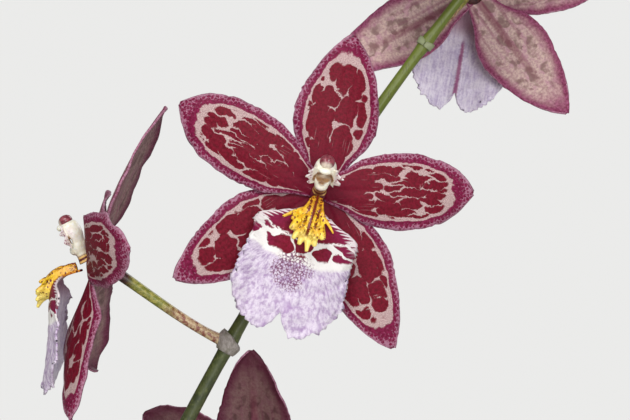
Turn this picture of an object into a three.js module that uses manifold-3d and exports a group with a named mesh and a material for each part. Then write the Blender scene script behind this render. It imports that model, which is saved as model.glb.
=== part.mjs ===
// A potted Vuylstekeara orchid: a plain clay pot filled with bark, a creeping rhizome with its roots,
// four pseudobulbs, nine strap leaves, and one arching flower spike that carries six open blooms and
// three buds. Millimetres, +Z up, origin at the middle of the pot's underside. The front is -Y.
import * as THREE from "three";
import { mergeVertices } from "three/addons/utils/BufferGeometryUtils.js";
import Module from "manifold-3d";

const wasm = await Module();
wasm.setup();

const degrees = Math.PI / 180;
const clearance = 0.3; // left between pieces that touch

// How finely each form is cut into faces: sides round a turned form or tube, steps along a tube, and
// [rows along, columns across] a blade.
const sides = {
  pot: 30,
  drainHole: 10,
  rhizome: 6,
  root: 5,
  bulb: 12,
  spike: 6,
  pedicel: 5,
  bract: 6,
  seat: 6,
  prong: 3,
  column: 8,
  wing: 5,
  cavity: 6,
  anther: 6,
  bud: 6,
};
const steps = { rhizome: 7, root: 5, spike: 18, pedicel: 5, prong: 2, wing: 3, cavity: 4, walk: 24 };
const cuts = { leaf: [8, 4], tepal: [5, 4], lip: [8, 6], crest: [4, 2] };

// Driving dimensions

const pot = {
  height: 114,
  footRadius: 45,
  rimRadius: 66,
  rimHeight: 21,
  rimStep: 3.5, // how far the rim stands out of the wall under it
  wall: 4.5,
  floor: 6,
  footEdge: 2, // the slant round its foot
  rimEdge: 1.5,
  drainHoles: 5,
  drainRadius: 4.5,
  drainCircle: 24,
};

// Chips lie sunflower-wise over the bark: goldenTurn is the angle from one to the next, edge how far
// their middles keep from the pot's wall, rise how far those stand above the bark's top.
const bark = {
  top: 95,
  chips: 9,
  chipLength: 20,
  chipWidth: 13,
  chipThickness: 6,
  goldenTurn: 137.5,
  edge: 13.5,
  rise: 0.5,
  tilt: 0.35, // radians, either way
  sizes: [0.7, 1.2],
  seed: 11,
};

const rhizome = {
  radius: 5,
  points: [
    [-33, -22, 84],
    [-29, 10, 84.5],
    [7, 3, 85],
    [38, -3, 86],
  ],
};

// Each root: the points that it creeps through, from the rhizome to the pot's wall.
const rootRadius = 1.7;
const rootTaper = [1.15, 0.75]; // share of that radius at the rhizome and at the tip
const roots = [
  [[-29, 10, 86], [-26, 26, 94], [-22, 38, 96.5], [-19, 46, 91]],
  [[7, 3, 86], [14, -18, 94.5], [6, -36, 96.5], [-4, -49, 91]],
  [[38, -3, 87], [42, 14, 95], [34, 28, 96.5], [33, 36, 91]],
  [[-33, -22, 85], [-20, -30, 95], [-24, -38, 96.5], [-25, -43, 91]],
];

const pseudobulbs = [
  { name: "pseudobulb_1", at: [-33, -22], height: 46, halfWidth: 12, halfDepth: 9, turn: 35, lean: -3 },
  { name: "pseudobulb_2", at: [-29, 10], height: 62, halfWidth: 16, halfDepth: 11, turn: -10, lean: -5 },
  { name: "pseudobulb_3", at: [7, 3], height: 80, halfWidth: 18, halfDepth: 12.5, turn: 0, lean: 0 },
  { name: "pseudobulb_4", at: [38, -3], height: 40, halfWidth: 11, halfDepth: 8, turn: -8, lean: 4 },
];
const pseudobulbFoot = 87; // height of the bulbs' undersides, inside the bark

// azimuth: the way the leaf leans, anticlockwise from +X; rise: its slope at the foot; bend: how far it
// has turned over at the tip; roll: how the blade tips sideways along its length. All in degrees.
const leaves = [
  { name: "leaf_1", from: [-36, 10, 146], azimuth: 152, rise: 74, bend: 96, length: 262, width: 36, roll: 8 },
  { name: "leaf_2", from: [-46, 16, 90], azimuth: 188, rise: 73, bend: 96, length: 232, width: 38, roll: -6 },
  { name: "leaf_3", from: [2.5, 2.5, 164], azimuth: 194, rise: 76, bend: 112, length: 305, width: 42, roll: -9 },
  { name: "leaf_4", from: [11.5, 5.5, 164], azimuth: 66, rise: 74, bend: 104, length: 258, width: 42, roll: 10 },
  { name: "leaf_5", from: [25, 14, 90], azimuth: 20, rise: 66, bend: 96, length: 208, width: 36, roll: 6 },
  { name: "leaf_6", from: [-2, 22, 90], azimuth: 100, rise: 68, bend: 96, length: 246, width: 38, roll: -8 },
  { name: "leaf_7", from: [41, -4, 124], azimuth: 338, rise: 68, bend: 92, length: 186, width: 32, roll: -6 },
  { name: "leaf_8", from: [34, -17, 90], azimuth: 296, rise: 65, bend: 88, length: 196, width: 35, roll: 8 },
  { name: "leaf_9", from: [-16, -14, 90], azimuth: 236, rise: 62, bend: 84, length: 205, width: 36, roll: -5 },
];
const leafThickness = 1.3;
const leafOutline = [[0, 0.2], [0.08, 0.28], [0.25, 0.7], [0.5, 1], [0.72, 0.88], [0.9, 0.48], [1, 0.05]];
const leafFold = [[0, 66], [0.1, 56], [0.3, 26], [0.7, 14], [1, 26]]; // half the keel's angle, degrees
const leafDroop = 1.6; // how late along the blade the bend comes
const leafFootHalf = 4; // half its width where it leaves the bark

// The flower spike is an arc in plan and elevation: it leans more the longer it gets.
const spike = {
  foot: [-7.2, -17, 90],
  length: 520,
  lean: 9, // degrees from upright at the foot
  bend: 0.072, // degrees for each millimetre
  backwards: 17, // how far it drifts towards +Y
  backwardsBy: 230, // the length along which it does so
  radius: [[0, 2.7], [257, 2.05], [400, 1.5], [520, 0.9]],
};
const sheaths = { places: [58, 122, 180], length: 16, fold: 0.9, tip: 1.2, lean: 1.4 };
const nodeBract = { below: 1, reach: 0.16, fold: 1.1 }; // reach: its share of the pedicel
const pedicel = { radius: 1.45, flare: 0.4, rise: 0.2, first: 12, last: 9 };

// Blooms. node: where the pedicel leaves the spike; facing: the way the bloom looks; roll: its turn about
// that, anticlockwise as its face is seen. turns, curls and twists, in the order of the tepals: how far
// each stands from its usual angle, how far its tip is bent forward of its usual pitch, and how far it is
// turned about its own midline. lipSwing: the lip's own turn in the bloom's plane; lipSize: the lip's
// size beside a full one; columnTilt: how far the column leans forward of the bloom's plane.
const blooms = [
  {
    name: "bloom_1",
    node: 232,
    at: [93.2, 28, 308.5],
    facing: [0.2, 0.97, -0.1],
    roll: -3,
    turns: [0, 23, 4, -4, 4],
    curls: [0, -6, 0, 4, 0],
    twists: [6, 0, -5, 0, 4],
    lipSwing: 0,
    lipSize: 0.94,
    columnTilt: 34,
  },
  {
    name: "bloom_2",
    node: 284,
    at: [46.7, -6, 380.4],
    facing: [-0.98, -0.02, 0.2],
    roll: -4,
    turns: [0, -1, 0, 4, -6],
    curls: [0, -20, 22, 0, -3],
    twists: [7, -25, 0, -18, 26],
    lipSwing: 4,
    lipSize: 0.94,
    columnTilt: 38,
    dorsalSize: 1.1, // its dorsal sepal is longer than the others'
    pedicelRise: -0.25,
    pedicelLast: 4,
  },
  {
    name: "bloom_3",
    node: 326,
    at: [111.8, -32, 400.8],
    facing: [0.02, -0.99, -0.05],
    roll: -13,
    turns: [-2.3, -3.5, -1.8, 0, 0],
    curls: [0, 0, 0, 0, 0],
    twists: [0, 0, 0, 0, 0],
    lipSwing: -5,
    lipSize: 0.97,
    columnTilt: 50,
  },
  {
    name: "bloom_4",
    node: 388,
    at: [158.4, 28, 460.8],
    facing: [0.02, 0.98, -0.16],
    roll: 9,
    turns: [0, 0, -3, 0, 14],
    curls: [0, 0, 4, 0, 0],
    twists: [0, 5, 0, -4, 0],
    lipSwing: 1,
    lipSize: 0.84,
    columnTilt: 36,
  },
  {
    name: "bloom_5",
    node: 428,
    at: [140.6, -20, 508],
    facing: [-0.5, -0.82, 0.18],
    roll: -5,
    turns: [0, 5, -3, 3, 0],
    curls: [-8, 6, -10, 0, 5],
    twists: [-5, 0, 6, 8, 0],
    lipSwing: 3,
    lipSize: 0.96,
    columnTilt: 40,
  },
  {
    name: "bloom_6",
    node: 462,
    at: [207.6, 31, 514],
    facing: [0.62, 0.77, 0.08],
    roll: 5,
    turns: [0, 8, -8, 0, 5],
    curls: [6, 0, -8, -5, 0],
    twists: [0, -7, 0, 5, -6],
    lipSwing: -2,
    lipSize: 0.9,
    columnTilt: 38,
  },
];

// Tepals in a bloom's own frame. angle: anticlockwise from the right; pitch: degrees that the midline
// stands forward of the bloom's plane at its root and at its tip; lift: where the root sits.
const tepals = [
  { angle: 92, length: 43.8, width: 23.5, pitch: [-3, -24], lift: -0.7, petal: false, phase: 0.1 },
  { angle: 15, length: 42.5, width: 21, pitch: [8, -25], lift: 0.4, petal: true, phase: 0.35 },
  { angle: 163, length: 44.5, width: 20.5, pitch: [8, -22], lift: 0.4, petal: true, phase: 0.75 },
  { angle: 225, length: 46, width: 21.5, pitch: [4, -14], lift: -0.7, petal: false, phase: 0.55 },
  { angle: 308, length: 47.5, width: 20.5, pitch: [5, -12], lift: -0.7, petal: false, phase: 0.9 },
];
const tepalThickness = 0.8;
const tepalCamber = 0.16;
const tepalWave = 0.9;
const tepalWaves = 2.2; // how many run along an edge
const tepalStart = 1.2; // how far from the bloom's middle the blades begin
const sepalOutline = [
  [0, 0.3], [0.17, 0.56], [0.29, 0.86], [0.45, 1], [0.6, 0.9], [0.8, 0.62], [0.94, 0.29], [1, 0.05],
];
const petalOutline = [
  [0, 0.28], [0.12, 0.5], [0.25, 0.82], [0.48, 1], [0.7, 0.92], [0.86, 0.68], [0.96, 0.4], [1, 0.16],
];
const twistFrom = 0.35; // the share of a tepal's length by which its twist is complete
const receptacle = { backRadius: 2.2, radius: 4.2, back: -3, shoulder: -0.8, front: 1.6 };

// The lip runs forward out of the bloom as a claw and then hangs as a broad blade, notched at its foot.
const lip = {
  start: [-3.2, 2.4], // up, forward
  thickness: 0.8,
  slope: [[0, 26], [5, 32], [8, 52], [11, 86], [15, 98], [25, 98], [43, 93]], // degrees below forward
  sideLength: 32,
  halfWidth: [
    [0, 2], [4.6, 2.4], [7, 5.2], [9.4, 11.6], [13, 14.8], [18, 14.5], [23, 15.3], [32, 16.4],
  ],
  foot: [[0, 36.5], [0.12, 40.6], [0.3, 43], [0.58, 41], [0.82, 37.5], [1, 32]], // by share of half-width
  camberRadius: 27,
};

// The crest: a pad down the lip's claw, and prongs. knee: how far along its reach a prong bends.
const crest = {
  from: 1.5,
  to: 12,
  thickness: 1.6,
  halfWidth: [[0, 1.7], [0.5, 2.9], [1, 3.8]],
  knee: [0.45, 0.3, 0.75],
  prongRadius: [0.95, 0.45],
};
// Where each prong stands on the lip, and how far it reaches right, up and forward.
const crestProngs = [
  { along: 11.4, across: 1, reach: [0.8, -5.2, 4.4] },
  { along: 11.4, across: -1, reach: [-1.2, -6, 3.6] },
  { along: 10.4, across: 2.8, reach: [2.6, -4.2, 4] },
  { along: 10.4, across: -2.8, reach: [-2.8, -3.8, 4.2] },
  { along: 7, across: 2, reach: [4.8, -2.4, 3] },
  { along: 7, across: -2, reach: [-5, -2.2, 2.8] },
];

// The column stands on its own axis; its front is its -Y side.
const column = {
  base: [-0.3, 1.7], // up, forward
  height: 12.8,
  profile: [[0, 0], [2.1, 0], [1.8, 2.8], [2.4, 5], [3.1, 8.4], [3, 11], [2.2, 12.8], [0, 12.8]],
  wing: { radii: [1.3, 1.1, 2.5], at: [3, -1.7, 9.2] },
  cavity: { radius: 2, at: [0, -3.7, 8.8] },
  antherProfile: [[0, 0], [2.1, 0], [2.1, 0.9], [1.3, 1.9], [0, 2.2]],
};

const buds = [
  { name: "bud_1", node: 486, reach: [-9, -9, 8], stalk: [0.9, 1.1], length: 19, radius: 4.4 },
  { name: "bud_2", node: 503, reach: [9, 8, 5], stalk: [0.8, 1], length: 15, radius: 3.5 },
  { name: "bud_3", node: 516, reach: [4, -2, 6], stalk: [0.8, 0.9], length: 11, radius: 2.6 },
];

const budProfile = [[0, 0], [0.4, 0], [0.85, 0.2], [1, 0.42], [0.8, 0.7], [0.4, 0.9], [0, 1]];

// Materials

const finish = (colour, roughness) =>
  new THREE.MeshStandardMaterial({ color: colour, roughness, metalness: 0 });
const clay = finish(0xb3694a, 0.85);
const barkBrown = finish(0x5a3b26, 0.95);
const rootWhite = finish(0xb9b59a, 0.8);
const bulbGreen = finish(0x6f8a3a, 0.45);
const leafGreen = finish(0x3f6b2a, 0.4);
const spikeGreen = finish(0x5f7030, 0.5);
const tepalCrimson = finish(0x74222f, 0.55);
const lipLilac = finish(0xddd0e4, 0.55);
const crestYellow = finish(0xe8c44a, 0.5);
const columnWhite = finish(0xf3efdc, 0.45);
const antherMaroon = finish(0x7a3040, 0.5);
const budMaroon = finish(0x5f2434, 0.5);

// Helpers

// A smooth curve through the [x, y] rows of a table, read at x.
function smooth(table, x) {
  const last = table.length - 1;
  if (x <= table[0][0]) return table[0][1];
  if (x >= table[last][0]) return table[last][1];
  const i = table.findIndex((row) => row[0] > x) - 1;
  const slope = (k) => {
    const before = table[Math.max(k - 1, 0)];
    const after = table[Math.min(k + 1, last)];
    return (after[1] - before[1]) / (after[0] - before[0]);
  };
  const span = table[i + 1][0] - table[i][0];
  const t = (x - table[i][0]) / span;
  const s = 1 - t;
  return (
    table[i][1] * (1 + 2 * t) * s * s +
    span * slope(i) * t * s * s +
    table[i + 1][1] * t * t * (3 - 2 * t) -
    span * slope(i + 1) * t * t * s
  );
}

function seeded(seed) {
  let state = seed;
  return () => {
    state = (state * 1664525 + 1013904223) % 4294967296;
    return state / 4294967296;
  };
}

function solidOf(geometry) {
  const bare = geometry.clone();
  bare.deleteAttribute("normal");
  bare.deleteAttribute("uv");
  const merged = mergeVertices(bare, 1e-4);
  return new wasm.Manifold(
    new wasm.Mesh({
      numProp: 3,
      vertProperties: merged.attributes.position.array,
      triVerts: new Uint32Array(merged.index.array),
    }),
  );
}

function largestBody(solid) {
  return solid.decompose().reduce((most, body) => (body.volume() > most.volume() ? body : most));
}

function meshOf(name, solid, material) {
  const made = solid.getMesh();
  const geometry = new THREE.BufferGeometry();
  geometry.setAttribute("position", new THREE.BufferAttribute(made.vertProperties, 3));
  geometry.setIndex(new THREE.BufferAttribute(made.triVerts, 1));
  geometry.computeVertexNormals();
  const mesh = new THREE.Mesh(geometry, material);
  mesh.name = name;
  return mesh;
}

// A thin blade around the surface pointAt(u, v), u from 0 to 1 along it and v from -1 to 1 across it.
// Both faces are split into the same triangles.
function bladeSolid([rows, columns], thickness, pointAt) {
  const middle = [];
  for (let i = 0; i <= rows; i++)
    for (let j = 0; j <= columns; j++) middle.push(pointAt(i / rows, (2 * j) / columns - 1));
  const within = (k, most) => Math.min(Math.max(k, 0), most);
  const at = (i, j) => middle[within(i, rows) * (columns + 1) + within(j, columns)];
  const positions = [];
  for (const side of [1, -1])
    for (let i = 0; i <= rows; i++)
      for (let j = 0; j <= columns; j++) {
        const along = at(i + 1, j).clone().sub(at(i - 1, j));
        const across = at(i, j + 1).clone().sub(at(i, j - 1));
        const normal = across.cross(along).normalize();
        const p = at(i, j).clone().addScaledVector(normal, (side * thickness) / 2);
        positions.push(p.x, p.y, p.z);
      }
  const behind = (rows + 1) * (columns + 1);
  const index = [];
  for (let i = 0; i < rows; i++)
    for (let j = 0; j < columns; j++) {
      const a = i * (columns + 1) + j;
      const b = a + 1;
      const c = b + columns + 1;
      const d = a + columns + 1;
      index.push(a, b, c, a, c, d);
      index.push(behind + a, behind + c, behind + b, behind + a, behind + d, behind + c);
    }
  const edge = (a, b) => index.push(a, behind + a, behind + b, a, behind + b, b);
  for (let j = 0; j < columns; j++) {
    edge(j, j + 1);
    edge(rows * (columns + 1) + j + 1, rows * (columns + 1) + j);
  }
  for (let i = 0; i < rows; i++) {
    edge((i + 1) * (columns + 1), i * (columns + 1));
    edge(i * (columns + 1) + columns, (i + 1) * (columns + 1) + columns);
  }
  const geometry = new THREE.BufferGeometry();
  geometry.setAttribute("position", new THREE.Float32BufferAttribute(positions, 3));
  geometry.setIndex(index);
  return solidOf(geometry);
}

// A closed round tube along a curve, whose radius is radiusAt(share of the length).
function tube(curve, rings, corners, radiusAt) {
  const frames = curve.computeFrenetFrames(rings, false);
  const positions = [];
  for (let i = 0; i <= rings; i++) {
    const centre = curve.getPointAt(i / rings);
    for (let k = 0; k < corners; k++) {
      const turn = (2 * Math.PI * k) / corners;
      const p = centre
        .clone()
        .addScaledVector(frames.normals[i], radiusAt(i / rings) * Math.cos(turn))
        .addScaledVector(frames.binormals[i], radiusAt(i / rings) * Math.sin(turn));
      positions.push(p.x, p.y, p.z);
    }
  }
  const ends = [curve.getPointAt(0), curve.getPointAt(1)];
  ends.forEach((p) => positions.push(p.x, p.y, p.z));
  const first = (rings + 1) * corners;
  const index = [];
  for (let k = 0; k < corners; k++) {
    const next = (k + 1) % corners;
    for (let i = 0; i < rings; i++) {
      const a = i * corners + k;
      const b = i * corners + next;
      index.push(a, b, b + corners, a, b + corners, a + corners);
    }
    index.push(first, next, k);
    index.push(first + 1, rings * corners + k, rings * corners + next);
  }
  const geometry = new THREE.BufferGeometry();
  geometry.setAttribute("position", new THREE.Float32BufferAttribute(positions, 3));
  geometry.setIndex(index);
  return solidOf(geometry);
}

// A solid turned about +Z from [radius, height] rows that start and end on the axis.
function turned(profile, corners) {
  const points = profile.map(([radius, height]) => new THREE.Vector2(radius, height));
  return new THREE.LatheGeometry(points, corners).rotateX(90 * degrees);
}

const vector = (list) => new THREE.Vector3(...list);
const smoothPath = (points) => new THREE.CatmullRomCurve3(points.map(vector));
const fixed = (radius) => () => radius;
const between = ([first, last], t) => first + (last - first) * t;

// Pot

function potSolid() {
  const { height, footRadius, rimRadius, rimHeight, rimStep, wall, floor, footEdge, rimEdge } = pot;
  const underRim = rimRadius - rimStep;
  const insideFoot = footRadius - wall;
  const outer = [[0, 0], [footRadius - footEdge, 0], [footRadius, footEdge], [underRim, height - rimHeight]];
  const rim = [[rimRadius, height - rimHeight], [rimRadius, height - rimEdge], [rimRadius - rimEdge, height]];
  const inner = [[underRim - wall, height], [insideFoot, floor], [0, floor]];
  let solid = solidOf(turned([...outer, ...rim, ...inner], sides.pot));
  for (let k = 0; k < pot.drainHoles; k++) {
    const hole = new THREE.CylinderGeometry(pot.drainRadius, pot.drainRadius, 3 * floor, sides.drainHole);
    hole.rotateX(90 * degrees).translate(pot.drainCircle, 0, 0);
    hole.rotateZ(((k + 0.5) / pot.drainHoles) * 360 * degrees);
    solid = solid.subtract(solidOf(hole));
  }
  return solid;
}

// Rhizome with its roots

function rhizomeSolid(grow) {
  let solid = tube(smoothPath(rhizome.points), steps.rhizome, sides.rhizome, fixed(rhizome.radius + grow));
  const radius = (t) => rootRadius * between(rootTaper, t) + grow;
  for (const points of roots)
    solid = solid.add(tube(smoothPath(points), steps.root, sides.root, radius));
  return solid;
}

// Pseudobulbs

const bulbProfile = [[0.5, 0], [0.86, 0.14], [1, 0.34], [0.9, 0.6], [0.63, 0.84], [0.36, 0.97], [0.26, 1]];

function bulbSolid(bulb, grow) {
  const rows = bulbProfile.map(([radius, height]) => [radius, height * bulb.height]);
  const shape = turned([[0, -grow], ...rows, [0, bulb.height + grow]], sides.bulb);
  shape.scale(bulb.halfWidth + grow, bulb.halfDepth + grow, 1);
  shape.rotateY(bulb.lean * degrees).rotateZ(bulb.turn * degrees);
  shape.translate(bulb.at[0], bulb.at[1], pseudobulbFoot);
  return solidOf(shape);
}

// Leaves

// The folded blade of a strap leaf: its midrib turns over in the plane of its azimuth.
function leafPoint(leaf, u, v) {
  const azimuth = leaf.azimuth * degrees;
  const outwards = new THREE.Vector3(Math.cos(azimuth), Math.sin(azimuth), 0);
  const rise = leaf.rise * degrees;
  const bend = leaf.bend * degrees;
  const angle = (t) => rise - bend * Math.max(t, 0) ** leafDroop;
  const point = vector(leaf.from);
  for (let k = 0; k < steps.walk; k++) {
    const here = angle((u * (k + 0.5)) / steps.walk);
    point.addScaledVector(outwards, (Math.cos(here) * leaf.length * u) / steps.walk);
    point.z += (Math.sin(here) * leaf.length * u) / steps.walk;
  }
  const slope = angle(u);
  const along = outwards.clone().multiplyScalar(Math.cos(slope));
  along.z = Math.sin(slope);
  const roll = leaf.roll * degrees * u;
  const across = new THREE.Vector3(-outwards.y, outwards.x, 0).applyAxisAngle(along, roll);
  const up = along.clone().cross(across);
  const half = (smooth(leafOutline, u) * leaf.width) / 2;
  const fold = smooth(leafFold, u) * degrees;
  return point
    .addScaledVector(across, v * half * Math.cos(fold))
    .addScaledVector(up, Math.abs(v) * half * Math.sin(fold));
}

function leafSolid(leaf, grow) {
  return bladeSolid(cuts.leaf, leafThickness + 2 * grow, (u, v) =>
    leafPoint(leaf, u + ((u - 1) * grow) / leaf.length, v * (1 + grow / leafFootHalf)),
  );
}

// Flower spike

class SpikeCurve extends THREE.Curve {
  getPoint(t, target = new THREE.Vector3()) {
    const s = t * spike.length;
    const radius = 1 / (spike.bend * degrees);
    const foot = spike.lean * degrees;
    const here = foot + s / radius;
    const drift = Math.min(s / spike.backwardsBy, 1);
    return target.set(
      spike.foot[0] + radius * (Math.cos(foot) - Math.cos(here)),
      spike.foot[1] + spike.backwards * drift * drift * (3 - 2 * drift),
      spike.foot[2] + radius * (Math.sin(here) - Math.sin(foot)),
    );
  }
}
const spikeCurve = new SpikeCurve();
const spikeRadius = (s) => smooth(spike.radius, s);

// A bloom's axes: right, up and out of its face, after its roll.
function bloomAxes(bloom) {
  const out = vector(bloom.facing).normalize();
  const up = new THREE.Vector3(0, 0, 1).addScaledVector(out, -out.z).normalize();
  up.applyAxisAngle(out, bloom.roll * degrees);
  const right = up.clone().cross(out);
  return { right, up, out };
}

function pedicelCurve(bloom) {
  const start = spikeCurve.getPoint(bloom.node / spike.length);
  const along = spikeCurve.getTangent(bloom.node / spike.length);
  const { out } = bloomAxes(bloom);
  const end = vector(bloom.at).addScaledVector(out, receptacle.back - clearance);
  const rise = bloom.pedicelRise ?? pedicel.rise;
  const away = end.clone().sub(start).normalize().addScaledVector(along, rise).normalize();
  const first = start.clone().addScaledVector(away, pedicel.first);
  const second = end.clone().addScaledVector(out, -(bloom.pedicelLast ?? pedicel.last));
  return new THREE.CubicBezierCurve3(start, first, second, end);
}

function budCurve(bud) {
  const start = spikeCurve.getPoint(bud.node / spike.length);
  return new THREE.LineCurve3(start, start.clone().add(vector(bud.reach)));
}

function spikeSolid(grow) {
  const stemRadius = (t) => spikeRadius(t * spike.length) + grow;
  let solid = tube(spikeCurve, steps.spike, sides.spike, stemRadius);
  for (const bloom of blooms) {
    const curve = pedicelCurve(bloom);
    const radius = (t) => pedicel.radius + pedicel.flare * t * t;
    solid = solid.add(tube(curve, steps.pedicel, sides.pedicel, radius));
    const bractEnd = curve.getPoint(nodeBract.reach);
    const bractStart = spikeCurve.getPoint((bloom.node - nodeBract.below) / spike.length);
    const bract = new THREE.LineCurve3(bractStart, bractEnd);
    const bractRadius = (t) => spikeRadius(bloom.node) + (t < 0.5 ? nodeBract.fold : 0);
    solid = solid.add(tube(bract, 1, sides.bract, bractRadius));
  }
  sheaths.places.forEach((place, k) => {
    const low = spikeCurve.getPoint(place / spike.length);
    const high = spikeCurve.getPoint((place + sheaths.length) / spike.length);
    high.x += k % 2 === 0 ? sheaths.lean : -sheaths.lean;
    const radius = (t) => (t < 0.5 ? spikeRadius(place) + sheaths.fold : sheaths.tip);
    solid = solid.add(tube(new THREE.LineCurve3(low, high), 1, sides.bract, radius));
  });
  for (const bud of buds)
    solid = solid.add(tube(budCurve(bud), 1, sides.bud, (t) => between(bud.stalk, t)));
  return solid;
}

// Blooms, each built in its own frame: right, up, out of its face

function tepalPoint(tepal, change, u, v) {
  const angle = (tepal.angle + change.turn) * degrees;
  const along = new THREE.Vector3(Math.cos(angle), Math.sin(angle), 0);
  const across = new THREE.Vector3(-along.y, along.x, 0);
  const from = tepal.pitch[0] * degrees;
  const to = (tepal.pitch[1] + change.curl) * degrees;
  const pitch = from + (to - from) * u;
  const length = tepal.length * change.size;
  const reach = (length * (Math.sin(pitch) - Math.sin(from))) / (to - from);
  const rise = (length * (Math.cos(from) - Math.cos(pitch))) / (to - from);
  const outline = tepal.petal ? petalOutline : sepalOutline;
  const half = (smooth(outline, u) * tepal.width) / 2;
  const side = v < 0 ? 0.5 : 0;
  const turns = tepalWaves * u + tepal.phase + side;
  const wave = tepalWave * u * Math.abs(v) ** 3 * Math.sin(2 * Math.PI * turns);
  const share = Math.min(Math.max(u, 0) / twistFrom, 1);
  const twist = change.twist * degrees * share * share * (3 - 2 * share);
  const flat = tepalCamber * half * v * v - wave;
  const sideways = v * half * Math.cos(twist) - flat * Math.sin(twist);
  const back = flat * Math.cos(twist) + v * half * Math.sin(twist);
  return along
    .clone()
    .multiplyScalar(tepalStart + reach + back * Math.sin(pitch))
    .addScaledVector(across, sideways)
    .setZ(tepal.lift + rise - back * Math.cos(pitch));
}

function tepalsSolid(bloom) {
  const { backRadius, radius, back, shoulder, front } = receptacle;
  const seat = [[0, back], [backRadius, back], [radius, shoulder], [radius, front], [0, front]];
  let solid = solidOf(turned(seat, sides.seat));
  tepals.forEach((tepal, k) => {
    const change = {
      turn: bloom.turns[k],
      curl: bloom.curls[k],
      twist: bloom.twists[k],
      size: k === 0 ? (bloom.dorsalSize ?? 1) : 1,
    };
    const blade = bladeSolid(cuts.tepal, tepalThickness, (u, v) => tepalPoint(tepal, change, u, v));
    solid = solid.add(blade);
  });
  return solid;
}

// A point on the lip's middle surface, or lifted off it: along it and across it, in millimetres.
function lipPoint(along, across, lift) {
  let [up, out] = lip.start;
  for (let k = 0; k < steps.walk; k++) {
    const here = smooth(lip.slope, (along * (k + 0.5)) / steps.walk) * degrees;
    up -= (Math.sin(here) * along) / steps.walk;
    out += (Math.cos(here) * along) / steps.walk;
  }
  const slope = smooth(lip.slope, along) * degrees;
  const off = lift - (across * across) / (2 * lip.camberRadius);
  return new THREE.Vector3(across, up + off * Math.cos(slope), out + off * Math.sin(slope));
}

function lipSolid() {
  return bladeSolid(cuts.lip, lip.thickness, (u, v) =>
    lipPoint(u * smooth(lip.foot, Math.abs(v)), v * smooth(lip.halfWidth, u * lip.sideLength), 0),
  );
}

function crestSolid() {
  const { from, to, thickness, halfWidth, knee, prongRadius } = crest;
  const lift = (lip.thickness + thickness) / 2 + clearance;
  let solid = bladeSolid(cuts.crest, thickness, (u, v) =>
    lipPoint(from + (to - from) * u, v * smooth(halfWidth, u), lift),
  );
  for (const { along, across, reach } of crestProngs) {
    const root = lipPoint(along, across, lift);
    const tip = root.clone().add(vector(reach));
    const bend = root.clone().add(vector(reach).multiply(vector(knee)));
    const path = new THREE.QuadraticBezierCurve3(root, bend, tip);
    solid = solid.add(tube(path, steps.prong, sides.prong, (t) => between(prongRadius, t)));
  }
  return solid;
}

// Leans a shape that stands on the column's axis into its place in the bloom.
function onColumn(shape, tilt) {
  return shape.rotateX((tilt - 90) * degrees).translate(0, column.base[0], column.base[1]);
}

function columnSolid(tilt) {
  const { wing, cavity, profile } = column;
  let solid = solidOf(onColumn(turned(profile, sides.column), tilt));
  for (const side of [-1, 1]) {
    const shape = new THREE.SphereGeometry(1, sides.wing, steps.wing);
    shape.rotateX(90 * degrees).scale(...wing.radii);
    shape.translate(side * wing.at[0], wing.at[1], wing.at[2]);
    solid = solid.add(solidOf(onColumn(shape, tilt)));
  }
  const hollow = new THREE.SphereGeometry(cavity.radius, sides.cavity, steps.cavity);
  hollow.translate(...cavity.at);
  const { radius, front, back } = receptacle;
  const seat = [[0, back], [radius, back], [radius + clearance, front + clearance], [0, front + clearance]];
  return solid.subtract(solidOf(onColumn(hollow, tilt))).subtract(solidOf(turned(seat, sides.seat)));
}

function antherSolid(tilt) {
  const cap = turned(column.antherProfile, sides.anther).translate(0, 0, column.height + clearance);
  return solidOf(onColumn(cap, tilt));
}

function bloomGroup(bloom) {
  const { right, up, out } = bloomAxes(bloom);
  const group = new THREE.Group();
  group.quaternion.setFromRotationMatrix(new THREE.Matrix4().makeBasis(right, up, out));
  group.position.fromArray(bloom.at);
  group.add(meshOf(`${bloom.name}_tepals`, tepalsSolid(bloom), tepalCrimson));
  const lipGroup = new THREE.Group();
  lipGroup.rotation.z = bloom.lipSwing * degrees;
  lipGroup.scale.setScalar(bloom.lipSize);
  lipGroup.position.z = lip.start[1] * (1 - bloom.lipSize);
  lipGroup.add(meshOf(`${bloom.name}_lip`, lipSolid(), lipLilac));
  lipGroup.add(meshOf(`${bloom.name}_crest`, crestSolid(), crestYellow));
  group.add(lipGroup);
  group.add(meshOf(`${bloom.name}_column`, columnSolid(bloom.columnTilt), columnWhite));
  group.add(meshOf(`${bloom.name}_anther`, antherSolid(bloom.columnTilt), antherMaroon));
  return group;
}

// Buds: pointed, each on the end of its own short pedicel

function budMesh(bud) {
  const profile = budProfile.map(([radius, height]) => [radius * bud.radius, height * bud.length]);
  const shape = turned(profile, sides.bud);
  const curve = budCurve(bud);
  const direction = curve.getTangent(1);
  const turn = new THREE.Quaternion().setFromUnitVectors(new THREE.Vector3(0, 0, 1), direction);
  const foot = curve.getPoint(1).addScaledVector(direction, clearance);
  shape.applyQuaternion(turn).translate(foot.x, foot.y, foot.z);
  return meshOf(bud.name, solidOf(shape), budMaroon);
}

// Bark: a plug that fills the pot, with chips raised from its top, and holes for all that stands in it

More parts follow.
